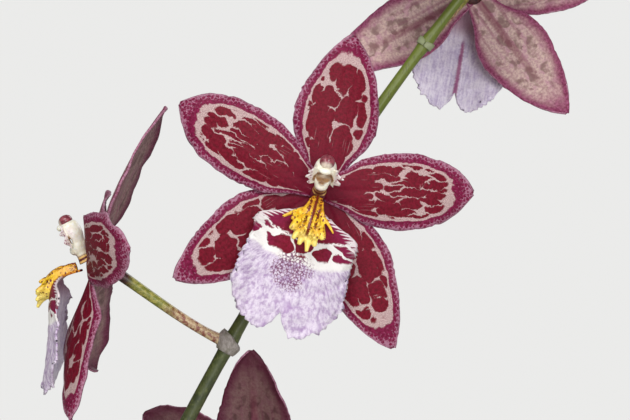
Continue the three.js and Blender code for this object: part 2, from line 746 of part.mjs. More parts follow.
function barkSolid() {
  const { floor, wall, footRadius, rimRadius, rimStep, height } = pot;
  const bottom = floor + clearance;
  const slope = (rimRadius - rimStep - footRadius) / (height - floor);
  const insideAt = (z) => footRadius - wall + slope * (z - floor) - clearance;
  const plug = [[0, bottom], [insideAt(bottom), bottom], [insideAt(bark.top), bark.top], [0, bark.top]];
  let solid = solidOf(turned(plug, sides.pot));
  const random = seeded(bark.seed);
  for (let k = 0; k < bark.chips; k++) {
    const size = between(bark.sizes, random());
    const chip = new THREE.BoxGeometry(
      bark.chipLength * size,
      bark.chipWidth * size,
      bark.chipThickness * size,
    );
    chip.rotateX((2 * random() - 1) * bark.tilt).rotateY((2 * random() - 1) * bark.tilt);
    chip.rotateZ(random() * Math.PI);
    const out = (insideAt(bark.top) - bark.edge) * Math.sqrt((k + 0.5) / bark.chips);
    const round = k * bark.goldenTurn * degrees;
    chip.translate(out * Math.cos(round), out * Math.sin(round), bark.top + bark.rise + random());
    solid = solid.add(solidOf(chip));
  }
  solid = solid.subtract(rhizomeSolid(clearance));
  for (const bulb of pseudobulbs) solid = solid.subtract(bulbSolid(bulb, clearance));
  for (const leaf of leaves.filter((each) => each.from[2] < bark.top))
    solid = solid.subtract(leafSolid(leaf, clearance));
  return largestBody(solid.subtract(spikeSolid(clearance)));
}

// The whole plant

const plant = new THREE.Group();
plant.add(meshOf("pot", potSolid(), clay));
plant.add(meshOf("bark", barkSolid(), barkBrown));
plant.add(meshOf("rhizome_and_roots", rhizomeSolid(0), rootWhite));

const rhizomeRoom = rhizomeSolid(clearance);
for (const bulb of pseudobulbs)
  plant.add(meshOf(bulb.name, largestBody(bulbSolid(bulb, 0).subtract(rhizomeRoom)), bulbGreen));

const bulbRoom = pseudobulbs.map((bulb) => bulbSolid(bulb, clearance));
for (const leaf of leaves) {
  const cut = bulbRoom.reduce((solid, room) => solid.subtract(room), leafSolid(leaf, 0));
  plant.add(meshOf(leaf.name, largestBody(cut), leafGreen));
}

plant.add(meshOf("spike", spikeSolid(0), spikeGreen));
blooms.forEach((bloom) => plant.add(bloomGroup(bloom)));
buds.forEach((bud) => plant.add(budMesh(bud)));

export default plant;
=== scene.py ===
import math
import random

import bmesh
import bpy
from mathutils import Matrix, Vector, noise


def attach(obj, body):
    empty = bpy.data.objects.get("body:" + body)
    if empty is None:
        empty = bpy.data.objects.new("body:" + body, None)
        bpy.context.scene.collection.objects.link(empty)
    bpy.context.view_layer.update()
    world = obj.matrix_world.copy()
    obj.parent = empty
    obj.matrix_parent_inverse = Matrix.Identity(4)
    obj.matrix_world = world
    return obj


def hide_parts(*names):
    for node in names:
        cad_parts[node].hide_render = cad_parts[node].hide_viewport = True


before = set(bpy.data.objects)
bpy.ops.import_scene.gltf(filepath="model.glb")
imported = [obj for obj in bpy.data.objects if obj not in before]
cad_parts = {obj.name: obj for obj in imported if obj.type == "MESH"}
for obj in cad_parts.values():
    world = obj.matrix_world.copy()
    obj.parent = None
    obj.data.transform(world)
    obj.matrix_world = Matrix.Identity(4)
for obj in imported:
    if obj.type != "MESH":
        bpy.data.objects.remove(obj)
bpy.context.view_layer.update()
print("frame loaded:", len(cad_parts), "nodes")

mm = 0.001
up = Vector((0, 0, 1))


# camera and light

photoView = {
    "aim": (110.6, 0, 395.3),  # mm: the point beside the spike at the picture's middle
    "distance": 552,           # mm in front of the spike
    "lens": 108.8,             # mm on a 36 mm sensor
}

studio = {
    "floorRadius": 1.7,
    "floorColor": (0.80, 0.79, 0.77, 1),
    "floorGrain": (0.7, 0.69, 0.67, 1),
    "skySeen": (0.83, 0.83, 0.82, 1),
    "skyFill": 0.24,
    "aim": (0.08, 0, 0.33),  # m: where the lamps point
    # name: place (m), size (m), power (W), colour
    "lamps": {
        "keySoftbox": ((-0.25, -1.35, 1.5), 0.75, 19, (1.0, 0.985, 0.96)),
        "frontSoftbox": ((0.45, -1.5, 0.5), 0.6, 9, (0.97, 0.98, 1.0)),
        "backSoftbox": ((0.9, 1.3, 1.3), 1.0, 9, (1.0, 1.0, 1.0)),
    },
}


def addObject(name, data):
    made = bpy.data.objects.new(name, data)
    bpy.context.scene.collection.objects.link(made)
    return made


def addMesh(bm, name):
    mesh = bpy.data.meshes.new(name)
    bm.to_mesh(mesh)
    bm.free()
    return addObject(name, mesh)


def addCamera(view):
    data = bpy.data.cameras.new("photoCamera")
    camera = addObject("photoCamera", data)
    x, y, z = view["aim"]
    camera.location = Vector((x, y - view["distance"], z)) * mm
    camera.rotation_euler = (math.radians(90), 0, 0)
    data.lens = view["lens"]
    data.sensor_width = 36
    data.clip_start = 0.01
    bpy.context.scene.camera = camera


def addStudio(look):
    for name, (place, size, power, color) in look["lamps"].items():
        data = bpy.data.lights.new(name, "AREA")
        data.shape = "DISK"
        data.size = size
        data.energy = power
        data.color = color
        lamp = addObject(name, data)
        lamp.location = place
        aim = Vector(look["aim"]) - lamp.location
        lamp.rotation_euler = aim.to_track_quat("-Z", "Y").to_euler()

    world = bpy.data.worlds.new("studioWorld")
    bpy.context.scene.world = world
    world.use_nodes = True
    nodes, links = world.node_tree.nodes, world.node_tree.links
    nodes.clear()
    rays = nodes.new("ShaderNodeLightPath")
    seen, fill = nodes.new("ShaderNodeBackground"), nodes.new("ShaderNodeBackground")
    seen.inputs["Color"].default_value = look["skySeen"]
    fill.inputs["Color"].default_value = (1, 1, 1, 1)
    fill.inputs["Strength"].default_value = look["skyFill"]
    blend = nodes.new("ShaderNodeMixShader")
    out = nodes.new("ShaderNodeOutputWorld")
    links.new(rays.outputs["Is Camera Ray"], blend.inputs[0])
    links.new(fill.outputs[0], blend.inputs[1])
    links.new(seen.outputs[0], blend.inputs[2])
    links.new(blend.outputs[0], out.inputs[0])


addCamera(photoView)
addStudio(studio)
bpy.context.scene.view_settings.view_transform = "Standard"
print("camera and lights placed")


# shader helpers

def rgb(red, green, blue):
    # a colour in everyday 0 to 255 numbers, made linear for a shader
    def linear(value):
        value /= 255
        return value / 12.92 if value <= 0.04045 else ((value + 0.055) / 1.055) ** 2.4
    return (linear(red), linear(green), linear(blue), 1)


def mathMethod(operation, swapped=False):
    # one Math node as a method of Wire
    def method(self, *others):
        values = (*others, self) if swapped else (self, *others)
        return self.surface.node("Math", {"operation": operation}, dict(enumerate(values)))
    return method


class Wire:
    # an output socket that can be written into an expression
    def __init__(self, surface, socket):
        self.surface = surface
        self.socket = socket

    __add__ = mathMethod("ADD")
    __radd__ = mathMethod("ADD", swapped=True)
    __sub__ = mathMethod("SUBTRACT")
    __rsub__ = mathMethod("SUBTRACT", swapped=True)
    __mul__ = mathMethod("MULTIPLY")
    __rmul__ = mathMethod("MULTIPLY", swapped=True)
    __truediv__ = mathMethod("DIVIDE")
    __pow__ = mathMethod("POWER")
    size = mathMethod("ABSOLUTE")
    sine = mathMethod("SINE")
    atLeast = mathMethod("MAXIMUM")
    atMost = mathMethod("MINIMUM")
    angleFrom = mathMethod("ARCTAN2")

    def rise(self, low, high):
        # 0 at low, 1 at high, smooth between; it falls where low is above high
        share = (self - low) * (1 / (high - low))
        share.socket.node.use_clamp = True
        return share * share * (3 - share * 2)

    def dyed(self, share, red, green, blue):
        # this colour with a share of another laid over it
        return self.surface.blend(share, self, rgb(red, green, blue))


class Surface:
    # a material with one Principled shader, and the nodes that feed it
    def __init__(self, name, **constants):
        self.material = bpy.data.materials.new(name)
        self.material.use_nodes = True
        self.tree = self.material.node_tree
        self.tree.nodes.clear()
        self.shader = self.tree.nodes.new("ShaderNodeBsdfPrincipled")
        out = self.tree.nodes.new("ShaderNodeOutputMaterial")
        self.tree.links.new(self.shader.outputs[0], out.inputs["Surface"])
        for key, value in constants.items():
            self.shader.inputs[key.replace("_", " ")].default_value = value

    def node(self, kind, settings=None, inputs=None, output=0):
        made = self.tree.nodes.new("ShaderNode" + kind)
        for key, value in (settings or {}).items():
            setattr(made, key, value)
        for key, value in (inputs or {}).items():
            self.feed(made.inputs[key], value)
        return Wire(self, made.outputs[output])

    def feed(self, socket, value):
        if isinstance(value, Wire):
            self.tree.links.new(value.socket, socket)
        else:
            socket.default_value = value

    def attribute(self, name):
        return self.node("Attribute", {"attribute_name": name}, output="Vector")

    def facts(self, name):
        return self.split(self.attribute(name))

    def place(self):
        # the piece's own coordinates, in mm
        return self.scaled(self.node("TexCoord", output="Object"), 1 / mm)

    def scaled(self, vector, factor):
        scale = factor if isinstance(factor, tuple) else (factor, factor, factor)
        return self.node("VectorMath", {"operation": "MULTIPLY"}, {0: vector, 1: scale})

    def split(self, vector):
        parts = self.node("SeparateXYZ", inputs={0: vector})
        sockets = parts.socket.node.outputs
        return Wire(self, sockets[0]), Wire(self, sockets[1]), Wire(self, sockets[2])

    def joined(self, x, y, z=0.0):
        return self.node("CombineXYZ", inputs={0: x, 1: y, 2: z})

    def noise(self, vector, scale, detail=2.0, roughness=0.5):
        inputs = {"Vector": vector, "Scale": scale, "Detail": detail, "Roughness": roughness}
        return self.node("TexNoise", inputs=inputs)

    def cells(self, vector, feature="DISTANCE_TO_EDGE", scale=1.0, dimensions="2D"):
        settings = {"voronoi_dimensions": dimensions, "feature": feature}
        return self.node("TexVoronoi", settings, {"Vector": vector, "Scale": scale}, "Distance")

    def net(self, vector, dimensions="2D"):
        # 0 inside rounded cells, 1 on the lines between them and more where the lines meet
        near = self.cells(vector, "F1", dimensions=dimensions)
        return (near - self.cells(vector, "SMOOTH_F1", dimensions=dimensions)) * 8.0

    def blend(self, factor, first, second):
        inputs = {0: factor, 6: first, 7: second}
        return self.node("Mix", {"data_type": "RGBA"}, inputs, 2)

    def finish(self, color, height=None, bump=(0.3, 0.0003), **varying):
        self.feed(self.shader.inputs["Base Color"], color)
        if height is not None:
            inputs = {"Height": height, "Strength": bump[0], "Distance": bump[1]}
            varying["Normal"] = self.node("Bump", inputs=inputs)
        for key, value in varying.items():
            self.feed(self.shader.inputs[key.replace("_", " ")], value)
        return self.material


# shape helpers

def smooth(table, x):
    # a smooth curve through the rows of a table, read at x
    last = len(table) - 1
    if x <= table[0][0]:
        return table[0][1]
    if x >= table[last][0]:
        return table[last][1]
    i = next(k for k in range(last) if table[k + 1][0] > x)

    def slope(k):
        before, after = table[max(k - 1, 0)], table[min(k + 1, last)]
        return (after[1] - before[1]) / (after[0] - before[0])

    span = table[i + 1][0] - table[i][0]
    t = (x - table[i][0]) / span
    s = 1 - t
    return (table[i][1] * (1 + 2 * t) * s * s + span * slope(i) * t * s * s
            + table[i + 1][1] * t * t * (3 - 2 * t) - span * slope(i + 1) * t * t * s)


def wobble(x, y=0.0, z=0.0):
    # soft noise from -1 to 1
    return noise.noise(Vector((x, y, z)))


def newMesh(*facts):
    # a bmesh whose corners can carry the named facts to a shader
    bm = bmesh.new()
    for name in facts:
        bm.verts.layers.float_vector.new(name)
    return bm


def addBall(bm, middle, size):
    ball = bmesh.ops.create_uvsphere(bm, u_segments=16, v_segments=10, radius=1)["verts"]
    bmesh.ops.scale(bm, vec=size, verts=ball)
    bmesh.ops.translate(bm, vec=middle, verts=ball)


def addBlade(bm, columns, rows, pointAt, facts=None):
    # a grid moved to pointAt(u, v): u runs from 0 to 1 along it, v from -1 to 1 across it
    grid = bmesh.ops.create_grid(bm, x_segments=columns, y_segments=rows, size=1)
    layers = {key: bm.verts.layers.float_vector[key] for key in (facts or {})}
    for vert in grid["verts"]:
        u, v = (vert.co.y + 1) / 2, vert.co.x
        for key, layer in layers.items():
            vert[layer] = facts[key](u, v)
        vert.co = pointAt(u, v)
    return grid["verts"]


def addTube(bm, points, radii, sides, fact=None, factAt=None, flat=1.0):
    # a ring carried along the points by extrusion, and closed at both ends
    layer = bm.verts.layers.float_vector[fact] if fact else None
    rings = []
    ring = bmesh.ops.create_circle(bm, cap_ends=False, segments=sides, radius=1)["verts"]
    edges = list({edge for vert in ring for edge in vert.link_edges})
    unit = [vert.co.copy() for vert in ring]
    normal = (points[1] - points[0]).orthogonal().normalized()
    for k, point in enumerate(points):
        ahead = points[min(k + 1, len(points) - 1)] - points[max(k - 1, 0)]
        ahead.normalize()
        normal = (normal - ahead * normal.dot(ahead)).normalized()
        across = ahead.cross(normal)
        if k:
            made = bmesh.ops.extrude_edge_only(bm, edges=edges)["geom"]
            edges = [item for item in made if isinstance(item, bmesh.types.BMEdge)]
            fresh = {item for item in made if isinstance(item, bmesh.types.BMVert)}
            ring = [next(edge.other_vert(vert) for edge in vert.link_edges
                         if edge.other_vert(vert) in fresh) for vert in ring]
        for vert, spot in zip(ring, unit):
            vert.co = point + (normal * spot.x + across * spot.y * flat) * radii[k]
            if fact:
                vert[layer] = factAt(k / (len(points) - 1), math.atan2(spot.y, spot.x))
        rings.append(list(ring))
    for ring in (rings[0], rings[-1]):
        bmesh.ops.contextual_create(bm, geom=ring)
    return [vert for ring in rings for vert in ring]


def makePiece(bm, name, materials, nodes=(), shadeSmooth=True):
    # turns a bmesh in millimetres into a piece of the plant
    bmesh.ops.scale(bm, vec=(mm, mm, mm), verts=bm.verts)
    piece = addMesh(bm, name)
    for material in materials:
        piece.data.materials.append(material)
    faces = piece.data.polygons
    faces.foreach_set("use_smooth", [shadeSmooth] * len(faces))
    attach(piece, "root")
    if nodes:
        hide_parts(*nodes)
    return piece


def thicken(piece, thickness, back=0, rim=0):
    # gives a blade its thickness, with its own materials behind and on the rim
    solid = piece.modifiers.new("thickness", "SOLIDIFY")
    solid.thickness = thickness * mm
    solid.offset = 0
    solid.use_even_offset = False
    solid.material_offset = back
    solid.material_offset_rim = rim


def settle(piece):
    # applies a piece's modifiers
    depsgraph = bpy.context.evaluated_depsgraph_get()
    old = piece.data
    piece.data = bpy.data.meshes.new_from_object(piece.evaluated_get(depsgraph))
    piece.modifiers.clear()
    bpy.data.meshes.remove(old)


def fuse(piece, voxel, rounds, factor=0.5):
    # melts a piece's overlapping shapes into one skin and rounds it off
    remesh = piece.modifiers.new("fuse", "REMESH")
    remesh.mode = "VOXEL"
    remesh.voxel_size = voxel * mm
    remesh.use_smooth_shade = True
    soften = piece.modifiers.new("soften", "SMOOTH")
    soften.iterations = rounds
    soften.factor = factor
    settle(piece)


def markPlace(piece, name, frameOf):
    # writes each corner's place in its own bloom, in mm, as an attribute
    inverse = frameOf.inverted()
    attribute = piece.data.attributes.new(name, "FLOAT_VECTOR", "POINT")
    for vert, value in zip(piece.data.vertices, attribute.data):
        value.vector = inverse @ (vert.co / mm)


# flower spike

spike = {
    "foot": (-7.2, -17, 90),
    "length": 520,
    "lean": 9,            # degrees from upright at the foot
    "bend": 0.072,        # degrees for each mm
    "backwards": 17,
    "backwardsBy": 230,
    "radius": [(0, 2.7), (257, 2.05), (400, 1.5), (520, 0.9)],
    "sheaths": (58, 122, 180),
    "nodeSwell": (0.45, 3.2),  # how much the stem thickens at a node, and over what length
    "sides": 20,
    "steps": 130,
    "pedicel": {"radius": 1.4, "flare": 0.4, "rootSwell": 0.45, "sides": 14, "steps": 26},
    "stalk": {"radius": 0.8, "flare": 0.03, "sides": 10, "steps": 6},
}

bractLook = {
    "length": 5.8,
    "sheathLength": 15,
    "budLength": 5,
    "thickness": 0.22,
    "wrap": 178,  # degrees to each side
    "columns": 14,
    "rows": 12,
}

# turns, curls and twists of the five tepals are in degrees; their order is that of tepalLook
# deep is painted shade: it darkens the tepal backs of the blooms that hang in shade
blooms = {
    "bloom_1": {"node": 232, "at": (93.2, 28, 308.5), "facing": (0.2, 0.97, -0.1), "roll": -3,
                "turns": (0, 23, 4, -4, 4), "curls": (0, -6, 0, 4, 0), "twists": (6, 0, -5, 0, 4),
                "lipSwing": 0, "lipSize": 0.94, "columnTilt": 34, "deep": 0.85},
    "bloom_2": {"node": 284, "at": (46.7, -6, 380.4), "facing": (-0.98, -0.02, 0.2), "roll": -4,
                "turns": (0, -1, 0, 4, -6), "curls": (0, -20, 22, 0, -3),
                "twists": (7, -25, 0, -18, 26),
                "lipSwing": 4, "lipSize": 0.94, "columnTilt": 38,
                "dorsalSize": 1.1, "pedicelRise": -0.25, "pedicelLast": 4, "deep": 0.6},
    "bloom_3": {"node": 326, "at": (111.8, -32, 400.8), "facing": (0.02, -0.99, -0.05), "roll": -13,
                "turns": (-2.3, -3.5, -1.8, 0, 0), "curls": (0, 0, 0, 0, 0),
                "twists": (0, 0, 0, 0, 0),
                "lipSwing": -5, "lipSize": 0.97, "columnTilt": 50},
    "bloom_4": {"node": 388, "at": (158.4, 28, 460.8), "facing": (0.02, 0.98, -0.16), "roll": 9,
                "turns": (0, 0, -3, 0, 14), "curls": (0, 0, 4, 0, 0), "twists": (0, 5, 0, -4, 0),
                "lipSwing": 1, "lipSize": 0.84, "columnTilt": 36, "bract": 2.6},
    "bloom_5": {"node": 428, "at": (140.6, -20, 508), "facing": (-0.5, -0.82, 0.18), "roll": -5,
                "turns": (0, 5, -3, 3, 0), "curls": (-8, 6, -10, 0, 5), "twists": (-5, 0, 6, 8, 0),
                "lipSwing": 3, "lipSize": 0.96, "columnTilt": 40},
    "bloom_6": {"node": 462, "at": (207.6, 31, 514), "facing": (0.62, 0.77, 0.08), "roll": 5,
                "turns": (0, 8, -8, 0, 5), "curls": (6, 0, -8, -5, 0), "twists": (0, -7, 0, 5, -6),
                "lipSwing": -2, "lipSize": 0.9, "columnTilt": 38},
}

buds = {
    "bud_1": {"node": 486, "reach": (-9, -9, 8), "length": 19, "radius": 4.4},
    "bud_2": {"node": 503, "reach": (9, 8, 5), "length": 15, "radius": 3.5},
    "bud_3": {"node": 516, "reach": (4, -2, 6), "length": 11, "radius": 2.6},
}


def spikePoint(s):
    radius = 1 / math.radians(spike["bend"])
    foot = math.radians(spike["lean"])
    here = foot + s / radius
    drift = min(s / spike["backwardsBy"], 1)
    return Vector((
        spike["foot"][0] + radius * (math.cos(foot) - math.cos(here)),
        spike["foot"][1] + spike["backwards"] * drift * drift * (3 - 2 * drift),
        spike["foot"][2] + radius * (math.sin(here) - math.sin(foot)),
    ))


def spikeWay(s):
    return (spikePoint(s + 1) - spikePoint(s - 1)).normalized()


def bloomFrame(bloom):
    # right, up and out of the bloom's face, and its middle: from the bloom's mm to the plant's
    out = Vector(bloom["facing"]).normalized()
    top = (up - out * out.z).normalized()
    top.rotate(Matrix.Rotation(math.radians(bloom["roll"]), 3, out))
    right = top.cross(out)
    turn = Matrix((right, top, out)).transposed().to_4x4()
    return Matrix.Translation(Vector(bloom["at"])) @ turn


def bezier(points, t):
    s = 1 - t
    return (points[0] * s ** 3 + points[1] * 3 * s * s * t
            + points[2] * 3 * s * t * t + points[3] * t ** 3)


def pedicelPath(bloom):
    start = spikePoint(bloom["node"])
    out = Vector(bloom["facing"]).normalized()
    end = Vector(bloom["at"]) + out * -2.6
    rise = bloom.get("pedicelRise", 0.2)
    away = ((end - start).normalized() + spikeWay(bloom["node"]) * rise).normalized()
    return [start, start + away * 12, end - out * bloom.get("pedicelLast", 9), end]


def stemSurface():
    s = Surface("stemGreen", Roughness=0.42, Coat_Weight=0.12, Coat_Roughness=0.3)
    spot = s.place()
    along, kind, _ = s.facts("stem")
    mottle = s.noise(spot, 0.9, 3.0, 0.6)
    patches = s.noise(spot, 0.12, 3.0, 0.6)
    green = s.blend(patches.rise(0.35, 0.65), rgb(40, 50, 22), rgb(68, 76, 34))
    green = green.dyed(along.rise(0.5, 0.68) * 0.75, 110, 124, 28)
    green = green.dyed(mottle.rise(0.5, 0.75) * 0.55, 106, 112, 62)
    streak = s.noise(s.scaled(spot, (3.0, 3.0, 0.3)), 0.8, 2.0)
    green = green.dyed(streak.rise(0.56, 0.72) * 0.5, 48, 36, 20)
    yellow = s.blend(mottle.rise(0.4, 0.7), rgb(122, 126, 48), rgb(172, 164, 84))
    russet = s.blend(mottle.rise(0.36, 0.6), rgb(126, 62, 52), rgb(196, 172, 134))
    wine = s.blend(mottle.rise(0.35, 0.7), rgb(42, 14, 16), rgb(76, 34, 32))
    drift = along + (patches - 0.5) * 0.35
    pedicel = s.blend(drift.rise(0.36, 0.52), russet, yellow)
    pedicel = s.blend(drift.rise(0.58, 0.72), pedicel, wine)
    color = s.blend(kind.rise(0.4, 0.6), green, pedicel)
    color = color.dyed(kind.rise(1.4, 1.6), 104, 26, 42)
    return s.finish(color, mottle + streak * 0.6, (0.35, 0.0002),
                    Roughness=0.36 + mottle * 0.2)


def bractSurface():
    s = Surface("dryBract", Roughness=0.75)
    spot = s.place()
    grain = s.noise(s.scaled(spot, (1.6, 1.6, 0.7)), 1.2, 4.0, 0.65)
    stain = s.noise(spot, 0.35, 2.0)
    color = s.blend(grain.rise(0.3, 0.75), rgb(130, 122, 116), rgb(176, 168, 162))
    color = color.dyed(stain.rise(0.45, 0.65) * 0.5, 104, 100, 76)
    _, _, z = s.split(spot)
    color = color.dyed(z.rise(400.0, 450.0) * 0.75, 146, 160, 112)
    return s.finish(color, grain, (0.3, 0.0003))


def makeSpike():
    bm = newMesh("stem")
    steps = spike["steps"]
    swell, reach = spike["nodeSwell"]
    points, radii = [], []
    joints = [bloom["node"] for bloom in blooms.values()] + list(spike["sheaths"])
    for k in range(steps + 1):
        s = spike["length"] * k / steps
        points.append(spikePoint(s))
        swollen = sum(swell * math.exp(-((s - joint) / reach) ** 2) for joint in joints)
        radii.append(smooth(spike["radius"], s) + swollen)
    addTube(bm, points, radii, spike["sides"], "stem", lambda t, a: (t, 0, a))
    look = spike["pedicel"]
    steps = look["steps"]
    for bloom in blooms.values():
        path = pedicelPath(bloom)
        line = [bezier(path, k / steps) for k in range(steps + 1)]
        sizes = [look["radius"] + look["flare"] * (k / steps) ** 2
                 + look["rootSwell"] * math.exp(-(k / 3) ** 2) for k in range(steps + 1)]
        addTube(bm, line, sizes, look["sides"], "stem", lambda t, a: (t, 1, a))
    look = spike["stalk"]
    steps = look["steps"]
    for bud in buds.values():
        start = spikePoint(bud["node"])
        line = [start + Vector(bud["reach"]) * (k / steps) for k in range(steps + 1)]
        sizes = [look["radius"] + look["flare"] * k for k in range(steps + 1)]
        addTube(bm, line, sizes, look["sides"], "stem", lambda t, a: (0.5 * t, 1, a))
    makePiece(bm, "spikeStem", [stemSurface()], ["spike"])


def addBract(bm, start, way, lean, radius, length, point, seed):
    # a sheath that clasps the stem, whose tip stands a little off it; point is 0 for a blunt tip
    look = bractLook
    side = way.cross(lean).normalized()
    lean = side.cross(way).normalized()
    spread = min(length / look["length"], 1) ** 1.5  # a short one is a mere scar round the stem

    def pointAt(u, v):
        wrap = math.radians(look["wrap"]) * (1 - (0.1 + 0.45 * point) * u * u * spread)
        turn = v * wrap * (1 - (0.1 + 0.6 * point) * u ** 3 * spread)
        swell = (0.45 - 0.1 * point) * spread * math.sin(2.4 * u)
        out = radius * (1.1 + swell + 0.07 * wobble(u * 5, v * 3, seed))
        ragged = 1 + 0.09 * wobble(v * 4, seed, 2) * u - 0.3 * (1 - point) * v * v * u
        centre = start + way * (length * u * ragged) + lean * (0.12 * length * u * u)
        forward = math.cos(turn) * out * (1 - 0.25 * u ** 4)
        return centre + lean * forward + side * (math.sin(turn) * out)

    addBlade(bm, look["columns"], look["rows"], pointAt)


def makeBracts():
    bm = bmesh.new()
    look = bractLook
    for number, bloom in enumerate(blooms.values()):
        s = bloom["node"]
        lean = (pedicelPath(bloom)[1] - spikePoint(s)).normalized()
        radius = smooth(spike["radius"], s) + 0.3
        length = bloom.get("bract", look["length"])
        foot = spikePoint(s - length / 2)
        addBract(bm, foot, spikeWay(s), lean, radius + 0.2, length, 0, number)
    for number, s in enumerate(spike["sheaths"]):
        lean = Vector((1 if number != 1 else -1, -0.3, 0))
        radius = smooth(spike["radius"], s) + 0.3
        length = look["sheathLength"]
        addBract(bm, spikePoint(s), spikeWay(s), lean, radius, length, 1, number + 20)
    for number, bud in enumerate(buds.values()):
        s = bud["node"]
        lean = Vector(bud["reach"]).normalized()
        radius = smooth(spike["radius"], s) + 0.2
        length = look["budLength"]
        addBract(bm, spikePoint(s - 2), spikeWay(s), lean, radius, length, 0.5, number + 40)
    piece = makePiece(bm, "spikeBracts", [bractSurface()])
    thicken(piece, look["thickness"])


makeSpike()
makeBracts()
print("spike made")


# tepals

tepalLook = {
    "thickness": 0.62,
    "camber": 0.16,
    "wave": 0.9,
    "ruffle": 0.75,
    "columns": 26,
    "rows": 46,
    "sepal": [(0, 0.3), (0.17, 0.56), (0.29, 0.86), (0.45, 1), (0.6, 0.9), (0.8, 0.62),
              (0.94, 0.29), (1, 0.05)],
    "petal": [(0, 0.28), (0.12, 0.5), (0.25, 0.82), (0.48, 1), (0.7, 0.92), (0.84, 0.7),
              (0.94, 0.4), (1, 0.05)],
    # angle from the right, length, width, pitch at root and tip, lift, kind, phase of the wave
    "blades": (
        (92, 43.8, 23.5, (-3, -24), -0.7, "sepal", 0.1),
        (15, 42.5, 21, (8, -25), 0.4, "petal", 0.35),
        (163, 44.5, 20.5, (8, -22), 0.4, "petal", 0.75),
        (225, 46, 21.5, (4, -14), -0.7, "sepal", 0.55),
        (308, 47.5, 20.5, (5, -12), -0.7, "sepal", 0.9),
    ),
}


def tepalPoint(blade, change, seed, u, v):
    angle, length, width, (rootPitch, tipPitch), lift, kind, phase = blade
    turn, curl, twist, size = change
    look = tepalLook
    heading = math.radians(angle + turn)
    along = Vector((math.cos(heading), math.sin(heading), 0))
    side = Vector((along.y, -along.x, 0))
    root, tip = math.radians(rootPitch), math.radians(tipPitch + curl)
    pitch = root + (tip - root) * u
    reach = length * size * (math.sin(pitch) - math.sin(root)) / (tip - root)
    rise = length * size * (math.cos(root) - math.cos(pitch)) / (tip - root)
    edge = abs(v)
    # petals are lobed and frilled at their tips
    late = max(u - 0.55, 0) / 0.45 if kind == "petal" else 0
    notches = 1 + (0.03 + 0.2 * late) * wobble(u * 9, math.copysign(2, v), seed) * edge ** 2
    notches += 0.035 * wobble(u * 40, math.copysign(2, v), seed + 3) * edge ** 4
    half = smooth(look[kind], u) * width / 2 * notches
    opposite = 0.5 if v > 0 else 0
    wave = look["wave"] * u * edge ** 3 * math.sin(2 * math.pi * (2.2 * u + phase + opposite))
    ruffle = look["ruffle"] * (1 + late) * edge ** 4 * min(u * 3, 1)
    wave += ruffle * wobble(u * 9, v * 1.2, seed + 5)
    wave += 0.3 * wobble(u * 3.5, v * 1.6, seed + 9) * min(u * 4, 1)
    across = v * half
    wave -= 0.38 * math.exp(-(across / 0.9) ** 2) * (1 - u) * min(u * 8, 1)
    share = min(u / 0.35, 1)
    twist = math.radians(-twist) * share * share * (3 - 2 * share)
    flat = look["camber"] * half * v * v - wave
    sideways = across * math.cos(twist) - flat * math.sin(twist)
    back = flat * math.cos(twist) + across * math.sin(twist)
    place = along * (1.2 + reach + back * math.sin(pitch)) + side * sideways
    place.z = lift + rise - back * math.cos(pitch)
    return place


def tepalCells(s):
    # what both faces share: the way to the margin, and lines between blotches drawn out lengthwise
    across, along, petal = s.facts("share")
    x, y, shift = s.facts("span")
    flat = s.joined(x + shift, y)
    fine = s.noise(flat, 1.3, 3.0, 0.6)
    warp = s.noise(flat, 0.24, 1.0) - 0.5
    other = s.noise(s.joined(x + shift, y + 60.0), 0.22, 1.0) - 0.5
    lines = s.net(s.joined((x + warp * 3.6 + fine * 1.3 + shift) * (0.21 + petal * 0.27),
                           (y + other * 6.0 + fine * 1.2) * (0.15 - petal * 0.02)))
    edge = (across.size() ** 5.0 + (along * 0.97) ** 7.0) ** 0.2 + warp * 0.09 + (fine - 0.5) * 0.05
    return along, petal, x, y, flat, fine, lines, edge


def tepalFrontSurface():
    s = Surface("tepalFront", Roughness=0.5, Specular_IOR_Level=0.16)
    along, petal, x, y, flat, fine, lines, edge = tepalCells(s)
    grain = s.noise(flat, 3.4, 2.0, 0.6)
    broad = s.noise(flat, 0.13, 1.0)

    # pale lines between the blotches, fine or missing in places, and a scalloped ring round all
    least = 1.54 - broad.rise(0.36, 0.62) * 0.82 - petal * 0.12 + along.rise(0.34, 0.1) * 1.2
    scallop = lines.atMost(1.3) * (0.08 - along.rise(0.5, 0.78) * 0.045)
    ring = (edge + scallop).rise(0.705, 0.727) * along.rise(0.03, 0.12)
    mask = (lines - least).rise(-0.14, 0.14).atLeast(ring)
    streak = s.noise(s.joined(x * 2.4 + y * 0.04, y * 0.12), 1.0, 2.0)
    flecks = streak.rise(0.66, 0.72) * along.rise(0.5, 0.2) * edge.rise(0.66, 0.46) * 0.5
    crimson = s.blend(fine.rise(0.3, 0.7), rgb(92, 4, 24), rgb(124, 14, 40))
    crimson = crimson.dyed(along.rise(0.34, 0.0) * 0.7, 108, 10, 42)
    pale = s.blend(grain.rise(0.3, 0.7), rgb(160, 124, 128), rgb(208, 184, 180))
    color = s.blend(mask.atLeast(flecks), crimson, pale)

    # purple margin, netted with lilac towards the rim
    margin = s.blend(fine.rise(0.3, 0.7), rgb(98, 8, 44), rgb(132, 28, 72))
    veil = s.net(s.joined((x + fine * 1.6) * 0.95, (y + grain * 1.6) * 0.95))
    dust = (veil - edge.rise(0.93, 0.78) * 1.1).rise(0.2, 0.6)
    margin = margin.dyed(dust * 0.7, 182, 132, 156)
    margin = margin.dyed(edge.rise(0.94, 1.02) * 0.5, 186, 140, 162)
    outside = (edge - lines.atMost(1.0) * 0.02).rise(0.75, 0.77)
    color = s.blend(outside, color, margin)
    veins = (x * 3.4 + (fine - 0.5) * 2.0).sine()
    height = fine * 0.9 + grain * 0.5 + veins * 0.16 + mask * 0.3
    return s.finish(color, height, (0.45, 0.00035), Roughness=0.44 + 0.2 * fine)


